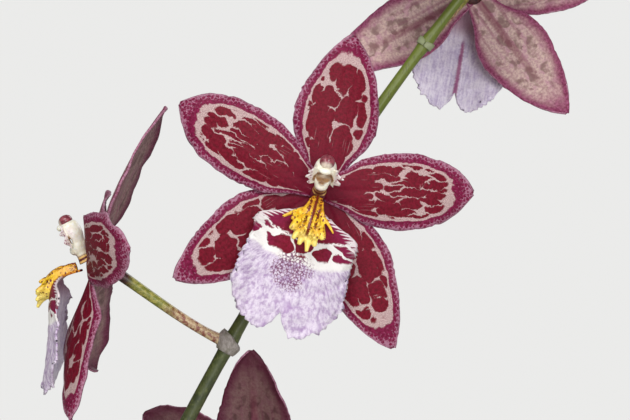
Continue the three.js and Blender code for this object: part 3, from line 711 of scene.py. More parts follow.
def tepalBackSurface():
    s = Surface("tepalBack", Roughness=0.55, Specular_IOR_Level=0.3)
    along, _, x, _, flat, fine, lines, edge = tepalCells(s)
    # painted shade: deep darkens the ground, spots and rim of the tepal backs on shaded blooms
    deep, _, _ = s.facts("paintedShade")
    cloud = s.noise(flat, 0.35, 2.0)
    blotch = lines.rise(0.5, 0.1) * edge.rise(0.76, 0.62) * cloud.rise(0.36, 0.6)
    ground = s.blend(fine.rise(0.3, 0.7), rgb(176, 138, 142), rgb(214, 188, 176))
    ground = ground.dyed(cloud.rise(0.45, 0.7) * 0.55, 188, 132, 156)
    ground = ground.dyed(deep, 92, 50, 54)
    spot = s.blend(deep, rgb(120, 92, 82), rgb(58, 18, 26))
    color = s.blend(blotch * 0.75, ground, spot)
    veins = (x * 1.9 + (fine - 0.5) * 1.6).sine().rise(0.4, 1.0)
    color = color.dyed(veins * 0.45 * along.rise(0.8, 0.1), 136, 56, 94)
    ridge = x.size().rise(1.6, 0.3) * along.rise(0.95, 0.3)
    color = color.dyed(ridge * 0.65, 122, 46, 70)
    wine = s.blend(fine.rise(0.3, 0.7), rgb(112, 32, 66), rgb(158, 82, 118))
    wine = wine.dyed(deep, 72, 16, 34)
    color = s.blend((edge + (cloud - 0.5) * 0.2).rise(0.62, 0.94), color, wine)
    return s.finish(color, fine + veins * 0.4 + ridge, (0.45, 0.0003))


def makeTepals(name, bloom, number, front, back):
    bm = newMesh("share", "span", "paintedShade")
    look = tepalLook
    for k, blade in enumerate(look["blades"]):
        seed = number * 7 + k
        size = bloom.get("dorsalSize", 1) if k == 0 else 1
        change = (bloom["turns"][k], bloom["curls"][k], bloom["twists"][k], size)
        length, width, kind = blade[1], blade[2], blade[5]
        petal = 1 if kind == "petal" else 0
        facts = {
            "share": lambda u, v: (v, u, petal),
            "span": lambda u, v: (v * width / 2 * smooth(look[kind], u), u * length, seed * 37.0),
            # the bloom's painted shade, read by the tepal backs
            "paintedShade": lambda u, v: (bloom.get("deep", 0), 0, 0),
        }
        addBlade(bm, look["columns"], look["rows"],
                 lambda u, v: tepalPoint(blade, change, seed, u, v), facts)
    bm.transform(bloomMatrices[name])
    piece = makePiece(bm, name + "Tepals", [front, back, front], [name + "_tepals"])
    thicken(piece, look["thickness"], back=1)


seatLook = {
    # radius and height of each ring
    "profile": ((1.6, -2.8), (2.6, -2.2), (3.4, -1.3), (3.5, -0.4), (2.6, 0.5), (1.2, 1.0)),
    "sides": 24,
}


def makeSeat(name, surface):
    # the short foot that holds the tepals, and hides their roots from behind
    bm = newMesh("stem")
    points = [Vector((0, 0, height)) for _, height in seatLook["profile"]]
    radii = [radius for radius, _ in seatLook["profile"]]
    addTube(bm, points, radii, seatLook["sides"], "stem",
            lambda t, a: (0.95, 2 if t > 0.5 else 1, a))
    bm.transform(bloomMatrices[name])
    makePiece(bm, name + "Seat", [surface])


bloomMatrices = {name: bloomFrame(bloom) for name, bloom in blooms.items()}
tepalFront, tepalBack = tepalFrontSurface(), tepalBackSurface()
seatSurface = stemSurface()
for number, (name, bloom) in enumerate(blooms.items()):
    makeTepals(name, bloom, number, tepalFront, tepalBack)
    makeSeat(name, seatSurface)
print("tepals made")


# lip

lipLook = {
    "start": (-3.0, 2.4),  # up, forward
    "thickness": 0.6,
    "slope": [(0, 26), (5, 32), (8, 52), (11, 86), (15, 98), (25, 98), (43, 93)],
    "sideLength": 32,
    "halfWidth": [(0, 2), (4.6, 2.4), (7, 5.2), (9.4, 11.6), (13, 14.8), (18, 14.5), (23, 15.3),
                  (32, 16.4)],
    "foot": [(0, 36.5), (0.12, 40.6), (0.3, 43), (0.58, 41), (0.82, 37.5), (1, 32)],
    "camberRadius": 27,
    "columns": 64,
    "rows": 72,
}


def lipPoint(along, across, lift):
    look = lipLook
    steps = 24
    high, forward = look["start"]
    for k in range(steps):
        here = math.radians(smooth(look["slope"], along * (k + 0.5) / steps))
        high -= math.sin(here) * along / steps
        forward += math.cos(here) * along / steps
    slope = math.radians(smooth(look["slope"], along))
    off = lift - across * across / (2 * look["camberRadius"])
    return Vector((across, high + off * math.cos(slope), forward + off * math.sin(slope)))


def lipPlace(u, v):
    # where on the lip's surface a grid point lies, with its notched foot and ragged edge
    look = lipLook
    rim = max(abs(v) ** 12, u ** 14) * min(u * 3, 1)
    along = u * smooth(look["foot"], abs(v))
    across = -v * smooth(look["halfWidth"], u * look["sideLength"])
    tooth = wobble(along * 0.8, across * 0.8, 3) + wobble(along * 2.3, across * 2.3, 7)
    return along + rim * 0.8 * tooth, across * (1 + rim * 0.055 * tooth)


def lipFormed(u, v, seed):
    along, across = lipPlace(u, v)
    rim = max(abs(v), u ** 2) ** 3
    spread = min(max((along - 9) / 8, 0), 1)
    lift = 0.55 * math.sin(across * 0.62 + seed) * spread * rim
    lift += spread * rim * 1.3 * wobble(along * 0.16, across * 0.16, seed + 3)
    lift += spread * rim * 0.5 * wobble(along * 0.6, across * 0.6, seed + 5)
    lift += spread * 0.35 * wobble(along * 0.35, across * 0.35, seed)
    lift -= 0.8 * math.exp(-(across / 1.5) ** 2) * min(max((along - 16) / 10, 0), 1)
    return lipPoint(along, across, lift)


def lipSurface():
    s = Surface("lipFront", Roughness=0.55, Specular_IOR_Level=0.22)
    x, y, seed = s.facts("lip")
    side, _, _ = s.facts("rim")
    flat = s.joined(x, y + seed * 50.0)
    fine = s.noise(flat, 1.3, 3.0, 0.65)
    grain = s.noise(flat, 3.0, 2.0, 0.65)
    broad = s.noise(flat, 0.2, 1.0)
    deep = y - 7.0
    wideX = x * 0.5
    radius = (wideX * wideX + deep * deep) ** 0.5 + (broad - 0.5) * 2.4 + (fine - 0.5) * 0.9
    angle = wideX.angleFrom(deep)

    # lilac blade, white round the blotches, with a purple net in its middle
    pleats = s.noise(s.joined(angle * 46.0, radius * 0.5, seed), 1.0, 3.0, 0.65)
    lilac = s.blend(pleats.rise(0.34, 0.6), rgb(182, 158, 194), rgb(232, 222, 236))
    lilac = lilac.dyed(grain.rise(0.46, 0.66) * 0.4, 184, 160, 198)
    lilac = lilac.dyed(fine.rise(0.5, 0.7) * 0.3, 186, 158, 202)
    lilac = lilac.dyed(radius.rise(15.8, 14.6), 244, 240, 238)
    mesh = s.net(s.joined(x * 1.15 + fine * 1.9, y * 1.15 + grain * 1.9))
    spotX, spotY = x + 0.7, y - 24.5
    patch = (spotX * spotX * 1.3 + spotY * spotY) ** 0.5
    patch = (patch + (broad - 0.5) * 5.0).rise(9.0, 4.0)
    lilac = lilac.dyed((mesh - (1 - patch) * 1.9).rise(0.1, 0.4) * 0.9, 116, 52, 96)
    rays = s.noise(s.joined(angle * 16.0, radius * 0.16, seed), 1.0, 3.0, 0.6)
    veins = rays.rise(0.54, 0.7) * radius.rise(14.0, 19.0)
    lilac = lilac.dyed(veins * 0.45, 156, 118, 174)

    # wine-red shoulders, then a ring of separate blotches
    polar = s.joined(angle * 3.6 + seed * 7.0 + broad * 1.2, radius * 0.15 + fine * 0.15)
    blotch = s.net(polar)
    blotch = (blotch + (radius - 10.8).size() * 0.18).rise(0.8, 0.65) * radius.rise(13.6, 13.0)
    inner = (radius + (fine - 0.5) * 1.2).rise(8.3, 7.9)
    wine = s.blend(fine.rise(0.3, 0.7), rgb(104, 4, 26), rgb(136, 16, 50))
    wine = wine.dyed(side.size().rise(0.3, 0.9) * 0.6, 142, 28, 82)
    color = s.blend(inner.atLeast(blotch * radius.rise(8.4, 8.9)), lilac, wine)
    comb = (y * 5.6 + x.size() * 1.2 + fine * 2.0).sine() * 0.07 + side.size()
    whiteEdge = comb.rise(0.87, 0.93) * y.rise(17.0, 13.0)
    color = color.dyed(whiteEdge, 240, 226, 230)

    # golden claw, barred dark red at its root
    gold = s.blend(fine.rise(0.4, 0.7), rgb(214, 140, 40), rgb(168, 74, 28))
    bars = (y * 5.2 + fine * 1.5).sine().rise(-0.1, 0.4) * y.rise(2.6, 1.8)
    gold = gold.dyed(bars, 86, 14, 18)
    color = s.blend(y.rise(7.0, 5.4), color, gold)
    height = grain * 0.4 + fine * 0.5 + pleats * 1.2
    return s.finish(color, height, (0.6, 0.0004))


def lipBackSurface():
    s = Surface("lipBack", Roughness=0.6, Specular_IOR_Level=0.35)
    x, y, seed = s.facts("lip")
    flat = s.joined(x, y + seed * 50.0)
    fine = s.noise(flat, 1.2, 3.0, 0.6)
    broad = s.noise(flat, 0.15, 2.0)
    streak = s.noise(s.joined(x * 1.2, y * 0.16, seed), 1.0, 3.0, 0.6)
    color = (streak * 0.6 + fine * 0.4).rise(0.34, 0.64)
    color = s.blend(color, rgb(188, 172, 206), rgb(234, 226, 240))
    color = color.dyed(broad.rise(0.45, 0.7) * 0.4, 236, 230, 238)
    keel = (x.size() + (fine - 0.5) * 0.7).rise(1.0, 0.2) * y.rise(14.0, 19.0)
    color = color.dyed(keel * 0.8, 146, 28, 104)
    # painted shade: the back turns darker and duller towards the lip's root
    color = color.dyed(y.rise(17.0, 9.0) * 0.75, 150, 96, 112)
    return s.finish(color, fine, (0.5, 0.0003))


def makeLip(name, number, front, back):
    bm = newMesh("lip", "rim")

    def placeFact(u, v):
        along, across = lipPlace(u, v)
        return (across, along, number)

    facts = {"lip": placeFact, "rim": lambda u, v: (v, u, 0)}
    addBlade(bm, lipLook["columns"], lipLook["rows"],
             lambda u, v: lipFormed(u, v, number * 3.7), facts)
    bm.transform(lipMatrices[name])
    piece = makePiece(bm, name + "Lip", [front, back, front], [name + "_lip"])
    thicken(piece, lipLook["thickness"], back=1)


def lipFrame(name):
    bloom = blooms[name]
    start, size = lipLook["start"][1], bloom["lipSize"]
    swing = Matrix.Rotation(math.radians(bloom["lipSwing"]), 4, "Z") @ Matrix.Scale(size, 4)
    return bloomMatrices[name] @ Matrix.Translation((0, 0, start * (1 - size))) @ swing


lipMatrices = {name: lipFrame(name) for name in blooms}
lipFront, lipBack = lipSurface(), lipBackSurface()
for number, name in enumerate(blooms):
    makeLip(name, number, lipFront, lipBack)
print("lips made")


# crest

crestLook = {
    "from": 1.2,
    "to": 14.6,
    "halfWidth": [(0, 1.5), (0.2, 2.0), (0.4, 2.8), (0.6, 3.9), (0.76, 4.6), (0.88, 4.0), (1, 2.4)],
    "lift": 1.5,       # mm of the pad's top over the lip
    "underside": 0.1,
    "columns": 18,
    "rows": 30,
    "voxel": 0.26,
    # along, across, how far it reaches (right, up, forward), root radius
    "teeth": (
        (8.0, -3.2, (-4.6, -3.4, 2.2), 0.8), (8.4, 3.2, (3.8, -3.2, 2.2), 0.55),
        (11.0, -3.4, (-1.3, -2.2, 2.2), 1.5), (11.4, 3.4, (1.3, -1.9, 2.2), 1.35),
        (9.6, -3.6, (-1.8, -1.2, 2.0), 0.9), (13.0, -2.4, (-0.9, -2.4, 2.0), 1.15),
        (14.0, -0.9, (-0.3, -2.4, 1.8), 1.1), (14.2, 0.8, (0.6, -3.4, 1.5), 1.0),
        (13.4, 2.2, (0.9, -2.2, 2.0), 1.1), (9.6, 1.7, (0.7, -1.1, 2.6), 0.95),
        (9.4, -1.7, (-0.7, -1.1, 2.6), 0.95), (11.8, 0.5, (0.1, -1.4, 2.8), 1.0),
        (12.3, 1.9, (0.5, -1.5, 2.6), 0.8), (12.1, -1.3, (-0.4, -1.4, 2.6), 0.95),
        (6.6, -1.2, (-0.4, -0.5, 1.8), 0.85), (6.6, 1.2, (0.4, -0.5, 1.8), 0.85),
    ),
}


def crestSurface():
    s = Surface("crestYellow", Roughness=0.38, Coat_Weight=0.2, Coat_Roughness=0.25)
    spot = s.attribute("inLip")
    x, y, _ = s.split(spot)
    fine = s.noise(spot, 1.1, 3.0, 0.6)
    grain = s.noise(spot, 2.6, 2.0)
    yellow = s.blend(fine.rise(0.35, 0.65), rgb(230, 172, 22), rgb(250, 218, 62))
    yellow = yellow.dyed(y.rise(-9.5, -13.5) * 0.6, 252, 238, 140)
    yellow = yellow.dyed(y.rise(-7.5, -4.2) * 0.4, 222, 138, 30)
    lean = x + (grain - 0.5) * 1.2
    keel = lean.size().rise(0.6, 0.3) * y.rise(-13.5, -12.0)
    flanks = (lean.size() - 1.3 + y * 0.03).size().rise(0.5, 0.26)
    flanks = flanks * y.rise(-12.5, -9.5) * fine.rise(0.42, 0.5)
    blots = s.cells(s.scaled(spot, (1.1, 0.6, 0.9)), "F1", dimensions="3D").rise(0.36, 0.26)
    blots = blots * y.rise(-14.5, -12.5) * fine.rise(0.42, 0.52)
    color = s.blend(keel.atLeast(flanks).atLeast(blots), yellow, rgb(112, 22, 10))
    return s.finish(color, fine + grain * 0.4, (0.4, 0.0003))


def makeCrest(name, surface):
    bm = bmesh.new()
    look = crestLook
    span = look["to"] - look["from"]

    def padPoint(u, v, lift):
        ridge = 0.45 * math.cos(v * 6.5) * (1 - u * 0.3) + 0.6 * wobble(u * 7, v * 3.4, 8)
        crown = 1.1 * math.sqrt(max(1 - v * v, 0)) * (0.7 + 0.6 * u)
        raised = lift + (ridge + crown if lift > look["lift"] else 0)
        return lipPoint(look["from"] + span * u, v * smooth(look["halfWidth"], u), raised)

    for lift in (look["underside"], look["lift"] + 0.2):
        addBlade(bm, look["columns"], look["rows"], lambda u, v: padPoint(u, v, lift))
    rims = [edge for edge in bm.edges if edge.is_boundary]
    bmesh.ops.bridge_loops(bm, edges=rims)
    for along, across, reach, radius in look["teeth"]:
        root = lipPoint(along, across, look["lift"] + 0.3)
        way = Vector(reach)
        knee = root + Vector((way.x * 0.4, way.y * 0.25, way.z * 0.8))
        tip = root + way
        stops = (0, 0.2, 0.4, 0.6, 0.8, 1)
        line = [root * (1 - t) ** 2 + knee * 2 * t * (1 - t) + tip * t * t for t in stops]
        sizes = [radius * (1.05 - 0.5 * t * t) for t in stops]
        addTube(bm, line, sizes, 8, flat=0.8)
    bmesh.ops.recalc_face_normals(bm, faces=bm.faces)
    bm.transform(lipMatrices[name])
    piece = makePiece(bm, name + "Crest", [surface], [name + "_crest"])
    fuse(piece, look["voxel"], 2)
    markPlace(piece, "inLip", lipMatrices[name])


crest = crestSurface()
for name in blooms:
    makeCrest(name, crest)
print("crests made")


# column

columnLook = {
    "base": (-0.3, 1.7),  # up, forward
    "height": 12.8,
    "profile": [(0, 2.0), (1.6, 1.7), (3, 1.8), (5, 2.4), (6.2, 2.5), (8.4, 3.1), (10.6, 3.0),
                (12, 2.6), (12.8, 1.6)],
    "hollow": (8.1, 2.7, 2.4, 2.6),  # height, half width, half height, depth
    "sides": 32,
    "steps": 28,
    "wing": (5.6, 6.4, 3.3, 0.55),  # foot, height, reach, thickness
    # middle and half size of the white shelf over the stigma and the swelling under it
    "balls": (((0, -2.3, 11.9), (1.7, 1.0, 0.9)), ((0, -1.4, 4.4), (1.9, 1.5, 1.5))),
    "voxel": 0.22,
}

antherLook = {
    "size": (2.058, 2.1, 1.75),
    "lift": 0.35,            # mm over the column's top
    "underside": -0.35,
    "groove": (0.12, 0.16),  # depth, half width
    "sides": 24,
    "rings": 16,
}


def columnFrame(name):
    bloom = blooms[name]
    high, forward = columnLook["base"]
    lean = Matrix.Rotation(math.radians(bloom["columnTilt"] - 90), 4, "X")
    return bloomMatrices[name] @ Matrix.Translation((0, high, forward)) @ lean


def columnSurface():
    s = Surface("columnCream", Roughness=0.4, Coat_Weight=0.2, Coat_Roughness=0.3,
                Subsurface_Weight=0.15, Subsurface_Radius=(1, 0.8, 0.5), Subsurface_Scale=0.001)
    spot = s.attribute("inColumn")
    x, y, z = s.split(spot)
    fine = s.noise(spot, 0.9, 3.0)
    color = s.blend(fine.rise(0.3, 0.7), rgb(236, 230, 206), rgb(252, 250, 238))
    color = color.dyed(x.size().rise(2.3, 3.6) * 0.5, 214, 190, 210)
    color = color.dyed(z.rise(2.8, 1.6) * 0.85, 232, 178, 62)
    frontal = y.rise(-0.2, -0.9)
    middle, wide, tall, _ = columnLook["hollow"]
    hollowX, hollowZ = x / wide, (z - middle) / tall
    hollow = (hollowX * hollowX + hollowZ * hollowZ + (fine - 0.5) * 0.5).rise(1.35, 0.9)
    brown = s.blend(fine.rise(0.4, 0.6), rgb(126, 82, 44), rgb(176, 132, 84))
    color = s.blend(hollow * frontal, color, brown)
    flush = s.cells(s.scaled(spot, (1.3, 1.3, 1.3)), "F1", dimensions="3D").rise(0.4, 0.3)
    color = color.dyed(flush * x.size().rise(2.8, 3.6) * 0.8, 150, 62, 100)
    low = frontal * z.rise(4.6, 3.4) * x.size().rise(1.5, 0.7)
    color = color.dyed(low * 0.7, 112, 28, 36)
    bands = (z * 5.5 + fine * 3.0).sine().rise(-0.2, 0.3) * z.rise(2.6, 1.8)
    color = color.dyed(bands, 92, 18, 20)
    return s.finish(color, fine, (0.25, 0.0002))


def antherSurface():
    s = Surface("antherMaroon", Roughness=0.36, Coat_Weight=0.3, Coat_Roughness=0.2)
    spot = s.attribute("inColumn")
    _, y, _ = s.split(spot)
    fine = s.noise(spot, 1.3, 3.0)
    color = s.blend(fine.rise(0.35, 0.65), rgb(104, 32, 48), rgb(152, 74, 84))
    color = color.dyed(y.rise(-0.9, -1.9) * 0.8, 238, 226, 206)
    return s.finish(color, fine, (0.3, 0.0002))


def makeColumn(name, surface):
    bm = bmesh.new()
    look = columnLook
    middle, wide, tall, depth = look["hollow"]
    wingFoot, wingHeight, wingReach, wingThickness = look["wing"]
    heights = [look["height"] * k / look["steps"] for k in range(look["steps"] + 1)]
    points = [Vector((0, 0, height)) for height in heights]
    addTube(bm, points, [smooth(look["profile"], height) for height in heights], look["sides"])
    for vert in bm.verts:
        # the face is hollowed where the stigma sits
        if vert.co.y < 0:
            hollow = math.exp(-((vert.co.x / wide) ** 2) - ((vert.co.z - middle) / tall) ** 2)
            vert.co.y += depth * hollow * min(-vert.co.y, 1)
    for side in (-1, 1):
        def wingPoint(u, v):
            # a ragged wing on each side of the stigma, turned forward
            teeth = 0.78 + 0.45 * wobble(u * 6.5 + side, 4) + 0.24 * math.cos(u * 17 + side)
            reach = wingReach * math.sin(math.pi * min(max(0.06 + 0.9 * u, 0), 1)) ** 0.5 * teeth
            share = (v + 1) / 2
            return Vector((side * (2.2 + share * reach * 0.85), -1.5 - share * reach * 0.35,
                           wingFoot + wingHeight * u + 0.9 * share * (u - 0.4)))

        made = addBlade(bm, 8, 22, wingPoint)
        bm.normal_update()
        faces = list({face for vert in made for face in vert.link_faces})
        bmesh.ops.solidify(bm, geom=faces, thickness=wingThickness)
    for ball, size in look["balls"]:
        addBall(bm, ball, size)
    bmesh.ops.recalc_face_normals(bm, faces=bm.faces)
    bm.transform(columnMatrices[name])
    piece = makePiece(bm, name + "Column", [surface], [name + "_column"])
    fuse(piece, look["voxel"], 2)
    markPlace(piece, "inColumn", columnMatrices[name])


def makeAnther(name, surface):
    bm = bmesh.new()
    look = antherLook
    wide, deep, tall = look["size"]
    cut, halfWidth = look["groove"]
    middle = columnLook["height"] + look["lift"]
    cap = bmesh.ops.create_uvsphere(bm, u_segments=look["sides"], v_segments=look["rings"],
                                    radius=1)["verts"]
    for vert in cap:
        x, y, z = vert.co
        groove = 1 - cut * math.exp(-(x / halfWidth) ** 2)
        top = max(z, look["underside"])
        vert.co = Vector((x * wide, y * deep * groove, middle + top * tall * groove))
    bmesh.ops.recalc_face_normals(bm, faces=bm.faces)
    bm.transform(columnMatrices[name])
    piece = makePiece(bm, name + "Anther", [surface], [name + "_anther"])
    markPlace(piece, "inColumn", columnMatrices[name])


columnMatrices = {name: columnFrame(name) for name in blooms}
column, anther = columnSurface(), antherSurface()
for name in blooms:
    makeColumn(name, column)
    makeAnther(name, anther)
print("columns made")


# buds

budLook = {
    "outline": [(0, 0.34), (0.1, 0.66), (0.25, 0.92), (0.42, 1), (0.7, 0.8), (0.88, 0.46),
                (1, 0.1)],
    "seam": 0.1,  # depth of the seams where the three sepals meet
    "sides": 30,
    "steps": 18,
}


def budSurface():
    s = Surface("budSkin", Roughness=0.4, Coat_Weight=0.2, Coat_Roughness=0.3)
    share, turn, size = s.facts("bud")
    spot = s.place()
    fine = s.noise(spot, 1.4, 3.0)
    streak = s.noise(s.joined(turn * 2.0, share * 1.5, size), 2.5, 3.0)
    color = s.blend(streak.rise(0.4, 0.62), rgb(74, 26, 40), rgb(128, 66, 78))
    color = color.dyed(share.rise(0.35, 0.0), 112, 118, 58)
    return s.finish(color, fine + streak, (0.35, 0.0003))


def makeBud(name, bud, surface):
    bm = newMesh("bud")
    look = budLook
    steps = look["steps"]
    points = [Vector((0, 0, bud["length"] * k / steps)) for k in range(steps + 1)]
    radii = [bud["radius"] * smooth(look["outline"], k / steps) for k in range(steps + 1)]
    addTube(bm, points, radii, look["sides"], "bud", lambda t, a: (t, a, bud["length"]))
    for vert in bm.verts:
        turn = math.atan2(vert.co.y, vert.co.x)
        seam = 1 - look["seam"] * abs(math.cos(turn * 1.5)) ** 6
        vert.co.x *= seam
        vert.co.y *= seam
    reach = Vector(bud["reach"])
    foot = spikePoint(bud["node"]) + reach
    turn = reach.to_track_quat("Z", "Y").to_matrix().to_4x4()
    bm.transform(Matrix.Translation(foot) @ turn)
    makePiece(bm, name.replace("_", "") + "Skin", [surface], [name])


budSkin = budSurface()
for name, bud in buds.items():
    makeBud(name, bud, budSkin)
print("buds made")


# leaves

leafLook = {
    "thickness": 1.1,
    "outline": [(0, 0.2), (0.08, 0.28), (0.25, 0.7), (0.5, 1), (0.72, 0.88), (0.9, 0.48),
                (1, 0.05)],
    "fold": [(0, 66), (0.1, 56), (0.3, 26), (0.7, 14), (1, 26)],
    "columns": 20,
    "rows": 90,
}

leaves = {
    # name: foot (mm), azimuth, rise at the foot and bend by the tip (degrees), length, width, roll
    "leaf_1": ((-36, 10, 146), 152, 74, 96, 262, 36, 8),
    "leaf_2": ((-46, 16, 90), 188, 73, 96, 232, 38, -6),
    "leaf_3": ((2.5, 2.5, 164), 194, 76, 112, 305, 42, -9),
    "leaf_4": ((11.5, 5.5, 164), 66, 74, 104, 258, 42, 10),
    "leaf_5": ((25, 14, 90), 20, 66, 96, 208, 36, 6),
    "leaf_6": ((-2, 22, 90), 100, 68, 96, 246, 38, -8),
    "leaf_7": ((41, -4, 124), 338, 68, 92, 186, 32, -6),
    "leaf_8": ((34, -17, 90), 296, 65, 88, 196, 35, 8),
    "leaf_9": ((-16, -14, 90), 236, 62, 84, 205, 36, -5),
}


def leafMidrib(leaf, rows):
    # places and slopes along the midrib, stepped from its foot
    foot, azimuth, rise, bend, length, _, _ = leaf
    outwards = Vector((math.cos(math.radians(azimuth)), math.sin(math.radians(azimuth)), 0))
    steps = rows * 4
    point = Vector(foot)
    stops = []
    for k in range(steps + 1):
        slope = math.radians(rise - bend * (k / steps) ** 1.6)
        if k % 4 == 0:
            stops.append((point.copy(), slope))
        point += (outwards * math.cos(slope) + up * math.sin(slope)) * length / steps
    return outwards, stops


def makeLeaf(name, leaf, number, surfaces):
    look = leafLook
    length, width, roll = leaf[4:]
    outwards, stops = leafMidrib(leaf, look["rows"])

    def pointAt(u, v):
        point, slope = stops[round(u * look["rows"])]
        along = outwards * math.cos(slope) + up * math.sin(slope)
        across = Vector((-outwards.y, outwards.x, 0))
        across.rotate(Matrix.Rotation(math.radians(roll) * u, 3, along))
        top = along.cross(across)
        edge = 1 + 0.02 * wobble(u * 14, math.copysign(1, v), number) * abs(v)
        half = smooth(look["outline"], u) * width / 2 * edge
        fold = math.radians(smooth(look["fold"], u))
        side = -v
        keel = 0.5 * math.exp(-(v * half / 1.3) ** 2) * (1 - u * 0.6)
        lift = abs(v) * half * math.sin(fold) - keel
        lift += 0.8 * abs(v) ** 2 * math.sin(u * 17 + number + side) * min(u * 3, 1)
        lift += 0.5 * wobble(u * 6, v * 1.5, number + 3)
        return point + across * (side * half * math.cos(fold)) + top * lift

    bm = newMesh("leaf")
    facts = {"leaf": lambda u, v: (v * smooth(look["outline"], u) * width / 2, u * length,
                                   number + u * 0.5)}
    addBlade(bm, look["columns"], look["rows"], pointAt, facts)
    piece = makePiece(bm, name.replace("_", "") + "Blade", surfaces, [name])
    thicken(piece, look["thickness"], back=1)


def leafSurface(name, dark, light, rib, gloss):
    s = Surface(name, Roughness=0.4, Coat_Weight=gloss, Coat_Roughness=0.25)
    x, y, seed = s.facts("leaf")
    veins = s.noise(s.joined(x * 1.6, y * 0.02, seed), 1.0, 3.0, 0.7)
    broad = s.noise(s.joined(x * 0.5, y * 0.3, seed * 5.0), 0.12, 3.0)
    fine = s.noise(s.joined(x, y, seed), 1.2, 3.0)
    color = s.blend(veins.rise(0.3, 0.7), dark, light)
    color = color.dyed(broad.rise(0.5, 0.75) * 0.4, 122, 138, 60)
    color = s.blend(x.size().rise(1.2, 0.2) * 0.6, color, rib)
    color = color.dyed(y.rise(26.0, 4.0) * 0.75, 150, 156, 92)
    spots = s.noise(s.joined(x * 0.8, y * 0.8, seed * 7.0), 0.5, 2.0).rise(0.74, 0.8)
    color = color.dyed(spots * 0.5, 96, 70, 40)
    lines = (x * 3.1 + (broad - 0.5) * 3.0).sine()
    height = veins * 0.9 + lines * 0.22 + fine * 0.25
    return s.finish(color, height, (0.4, 0.0005), Roughness=0.32 + fine * 0.2)


leafTop = leafSurface("leafTop", rgb(44, 78, 26), rgb(78, 114, 44), rgb(120, 146, 74), 0.35)
leafUnder = leafSurface("leafUnder", rgb(76, 104, 50), rgb(112, 136, 76), rgb(146, 162, 100), 0.1)
for number, (name, leaf) in enumerate(leaves.items()):
    makeLeaf(name, leaf, number, [leafTop, leafUnder])
print("leaves made")


# pseudobulbs

bulbLook = {
    "foot": 87,
    "profile": [(0, 0.5), (0.14, 0.86), (0.34, 1), (0.6, 0.9), (0.84, 0.63), (0.97, 0.36),
                (1, 0.26)],
    "topRing": 0.6,  # the last ring is this much smaller, for a rounded end
    "rows": 40,
    "sides": 56,
}

sheathLook = {
    "shares": {-1: 0.5, 1: 0.62},  # of the bulb's height, for the sheath on each side
    "wrap": 88,                    # degrees to each side
    "standOff": 1.035,
    "thickness": 0.25,
    "grid": 26,
}

bulbs = {
    "pseudobulb_1": {"at": (-33, -22), "height": 46, "halfWidth": 12, "halfDepth": 9,
                     "turn": 35, "lean": -3, "ribs": 0.1, "age": 1.0},
    "pseudobulb_2": {"at": (-29, 10), "height": 62, "halfWidth": 16, "halfDepth": 11,
                     "turn": -10, "lean": -5, "ribs": 0.05, "age": 0.55},
    "pseudobulb_3": {"at": (7, 3), "height": 80, "halfWidth": 18, "halfDepth": 12.5,
                     "turn": 0, "lean": 0, "ribs": 0.025, "age": 0.2},
    "pseudobulb_4": {"at": (38, -3), "height": 40, "halfWidth": 11, "halfDepth": 8,
                     "turn": -8, "lean": 4, "ribs": 0.01, "age": 0.0},
}


def bulbMatrix(bulb):
    lean = Matrix.Rotation(math.radians(bulb["lean"]), 4, "Y")
    turn = Matrix.Rotation(math.radians(bulb["turn"]), 4, "Z")
    return Matrix.Translation((*bulb["at"], bulbLook["foot"])) @ turn @ lean


def bulbSurface():
    s = Surface("bulbSkin", Roughness=0.36, Coat_Weight=0.35, Coat_Roughness=0.22)
    height, _, age = s.facts("bulb")
    spot = s.place()
    fine = s.noise(spot, 0.8, 3.0)
    streak = s.noise(s.scaled(spot, (1.0, 1.0, 0.12)), 0.5, 4.0, 0.6)
    young = s.blend(streak.rise(0.35, 0.65), rgb(96, 124, 46), rgb(146, 162, 78))
    old = s.blend(streak.rise(0.35, 0.65), rgb(108, 104, 44), rgb(160, 148, 84))
    color = s.blend(age, young, old)
    color = color.dyed(height.rise(0.35, 0.0) * 0.6, 152, 140, 84)
    specks = s.noise(spot, 1.7, 2.0).rise(0.66, 0.72)
    color = color.dyed(specks * 0.7, 84, 54, 34)
    return s.finish(color, streak + fine * 0.4, (0.4, 0.0006), Roughness=0.3 + fine * 0.2)


def makeBulb(name, bulb, number, surface):
    bm = newMesh("bulb")
    look = bulbLook
    rows = look["rows"]
    points = [Vector((0, 0, bulb["height"] * k / rows)) for k in range(rows + 1)]
    radii = [smooth(look["profile"], k / rows) for k in range(rows + 1)]
    radii[-1] *= look["topRing"]
    addTube(bm, points, radii, look["sides"], "bulb", lambda t, a: (t, a, bulb["age"]))
    for vert in bm.verts:
        turn = math.atan2(vert.co.y, vert.co.x)
        share = vert.co.z / bulb["height"]
        # shallow ribs run up the bulb, deeper on old wrinkled ones
        rib = 1 - bulb["ribs"] * (0.5 + 0.5 * math.cos(turn * 11 + 2 * wobble(share * 2, number)))
        rib -= bulb["ribs"] * 0.6 * wobble(turn * 3, share * 5, number)
        edge = 1 + 0.05 * abs(math.cos(turn)) ** 8
        vert.co.x *= bulb["halfWidth"] * rib * edge
        vert.co.y *= bulb["halfDepth"] * rib
    bm.transform(bulbMatrix(bulb))
    makePiece(bm, name.replace("_", "") + "Skin", [surface], [name])


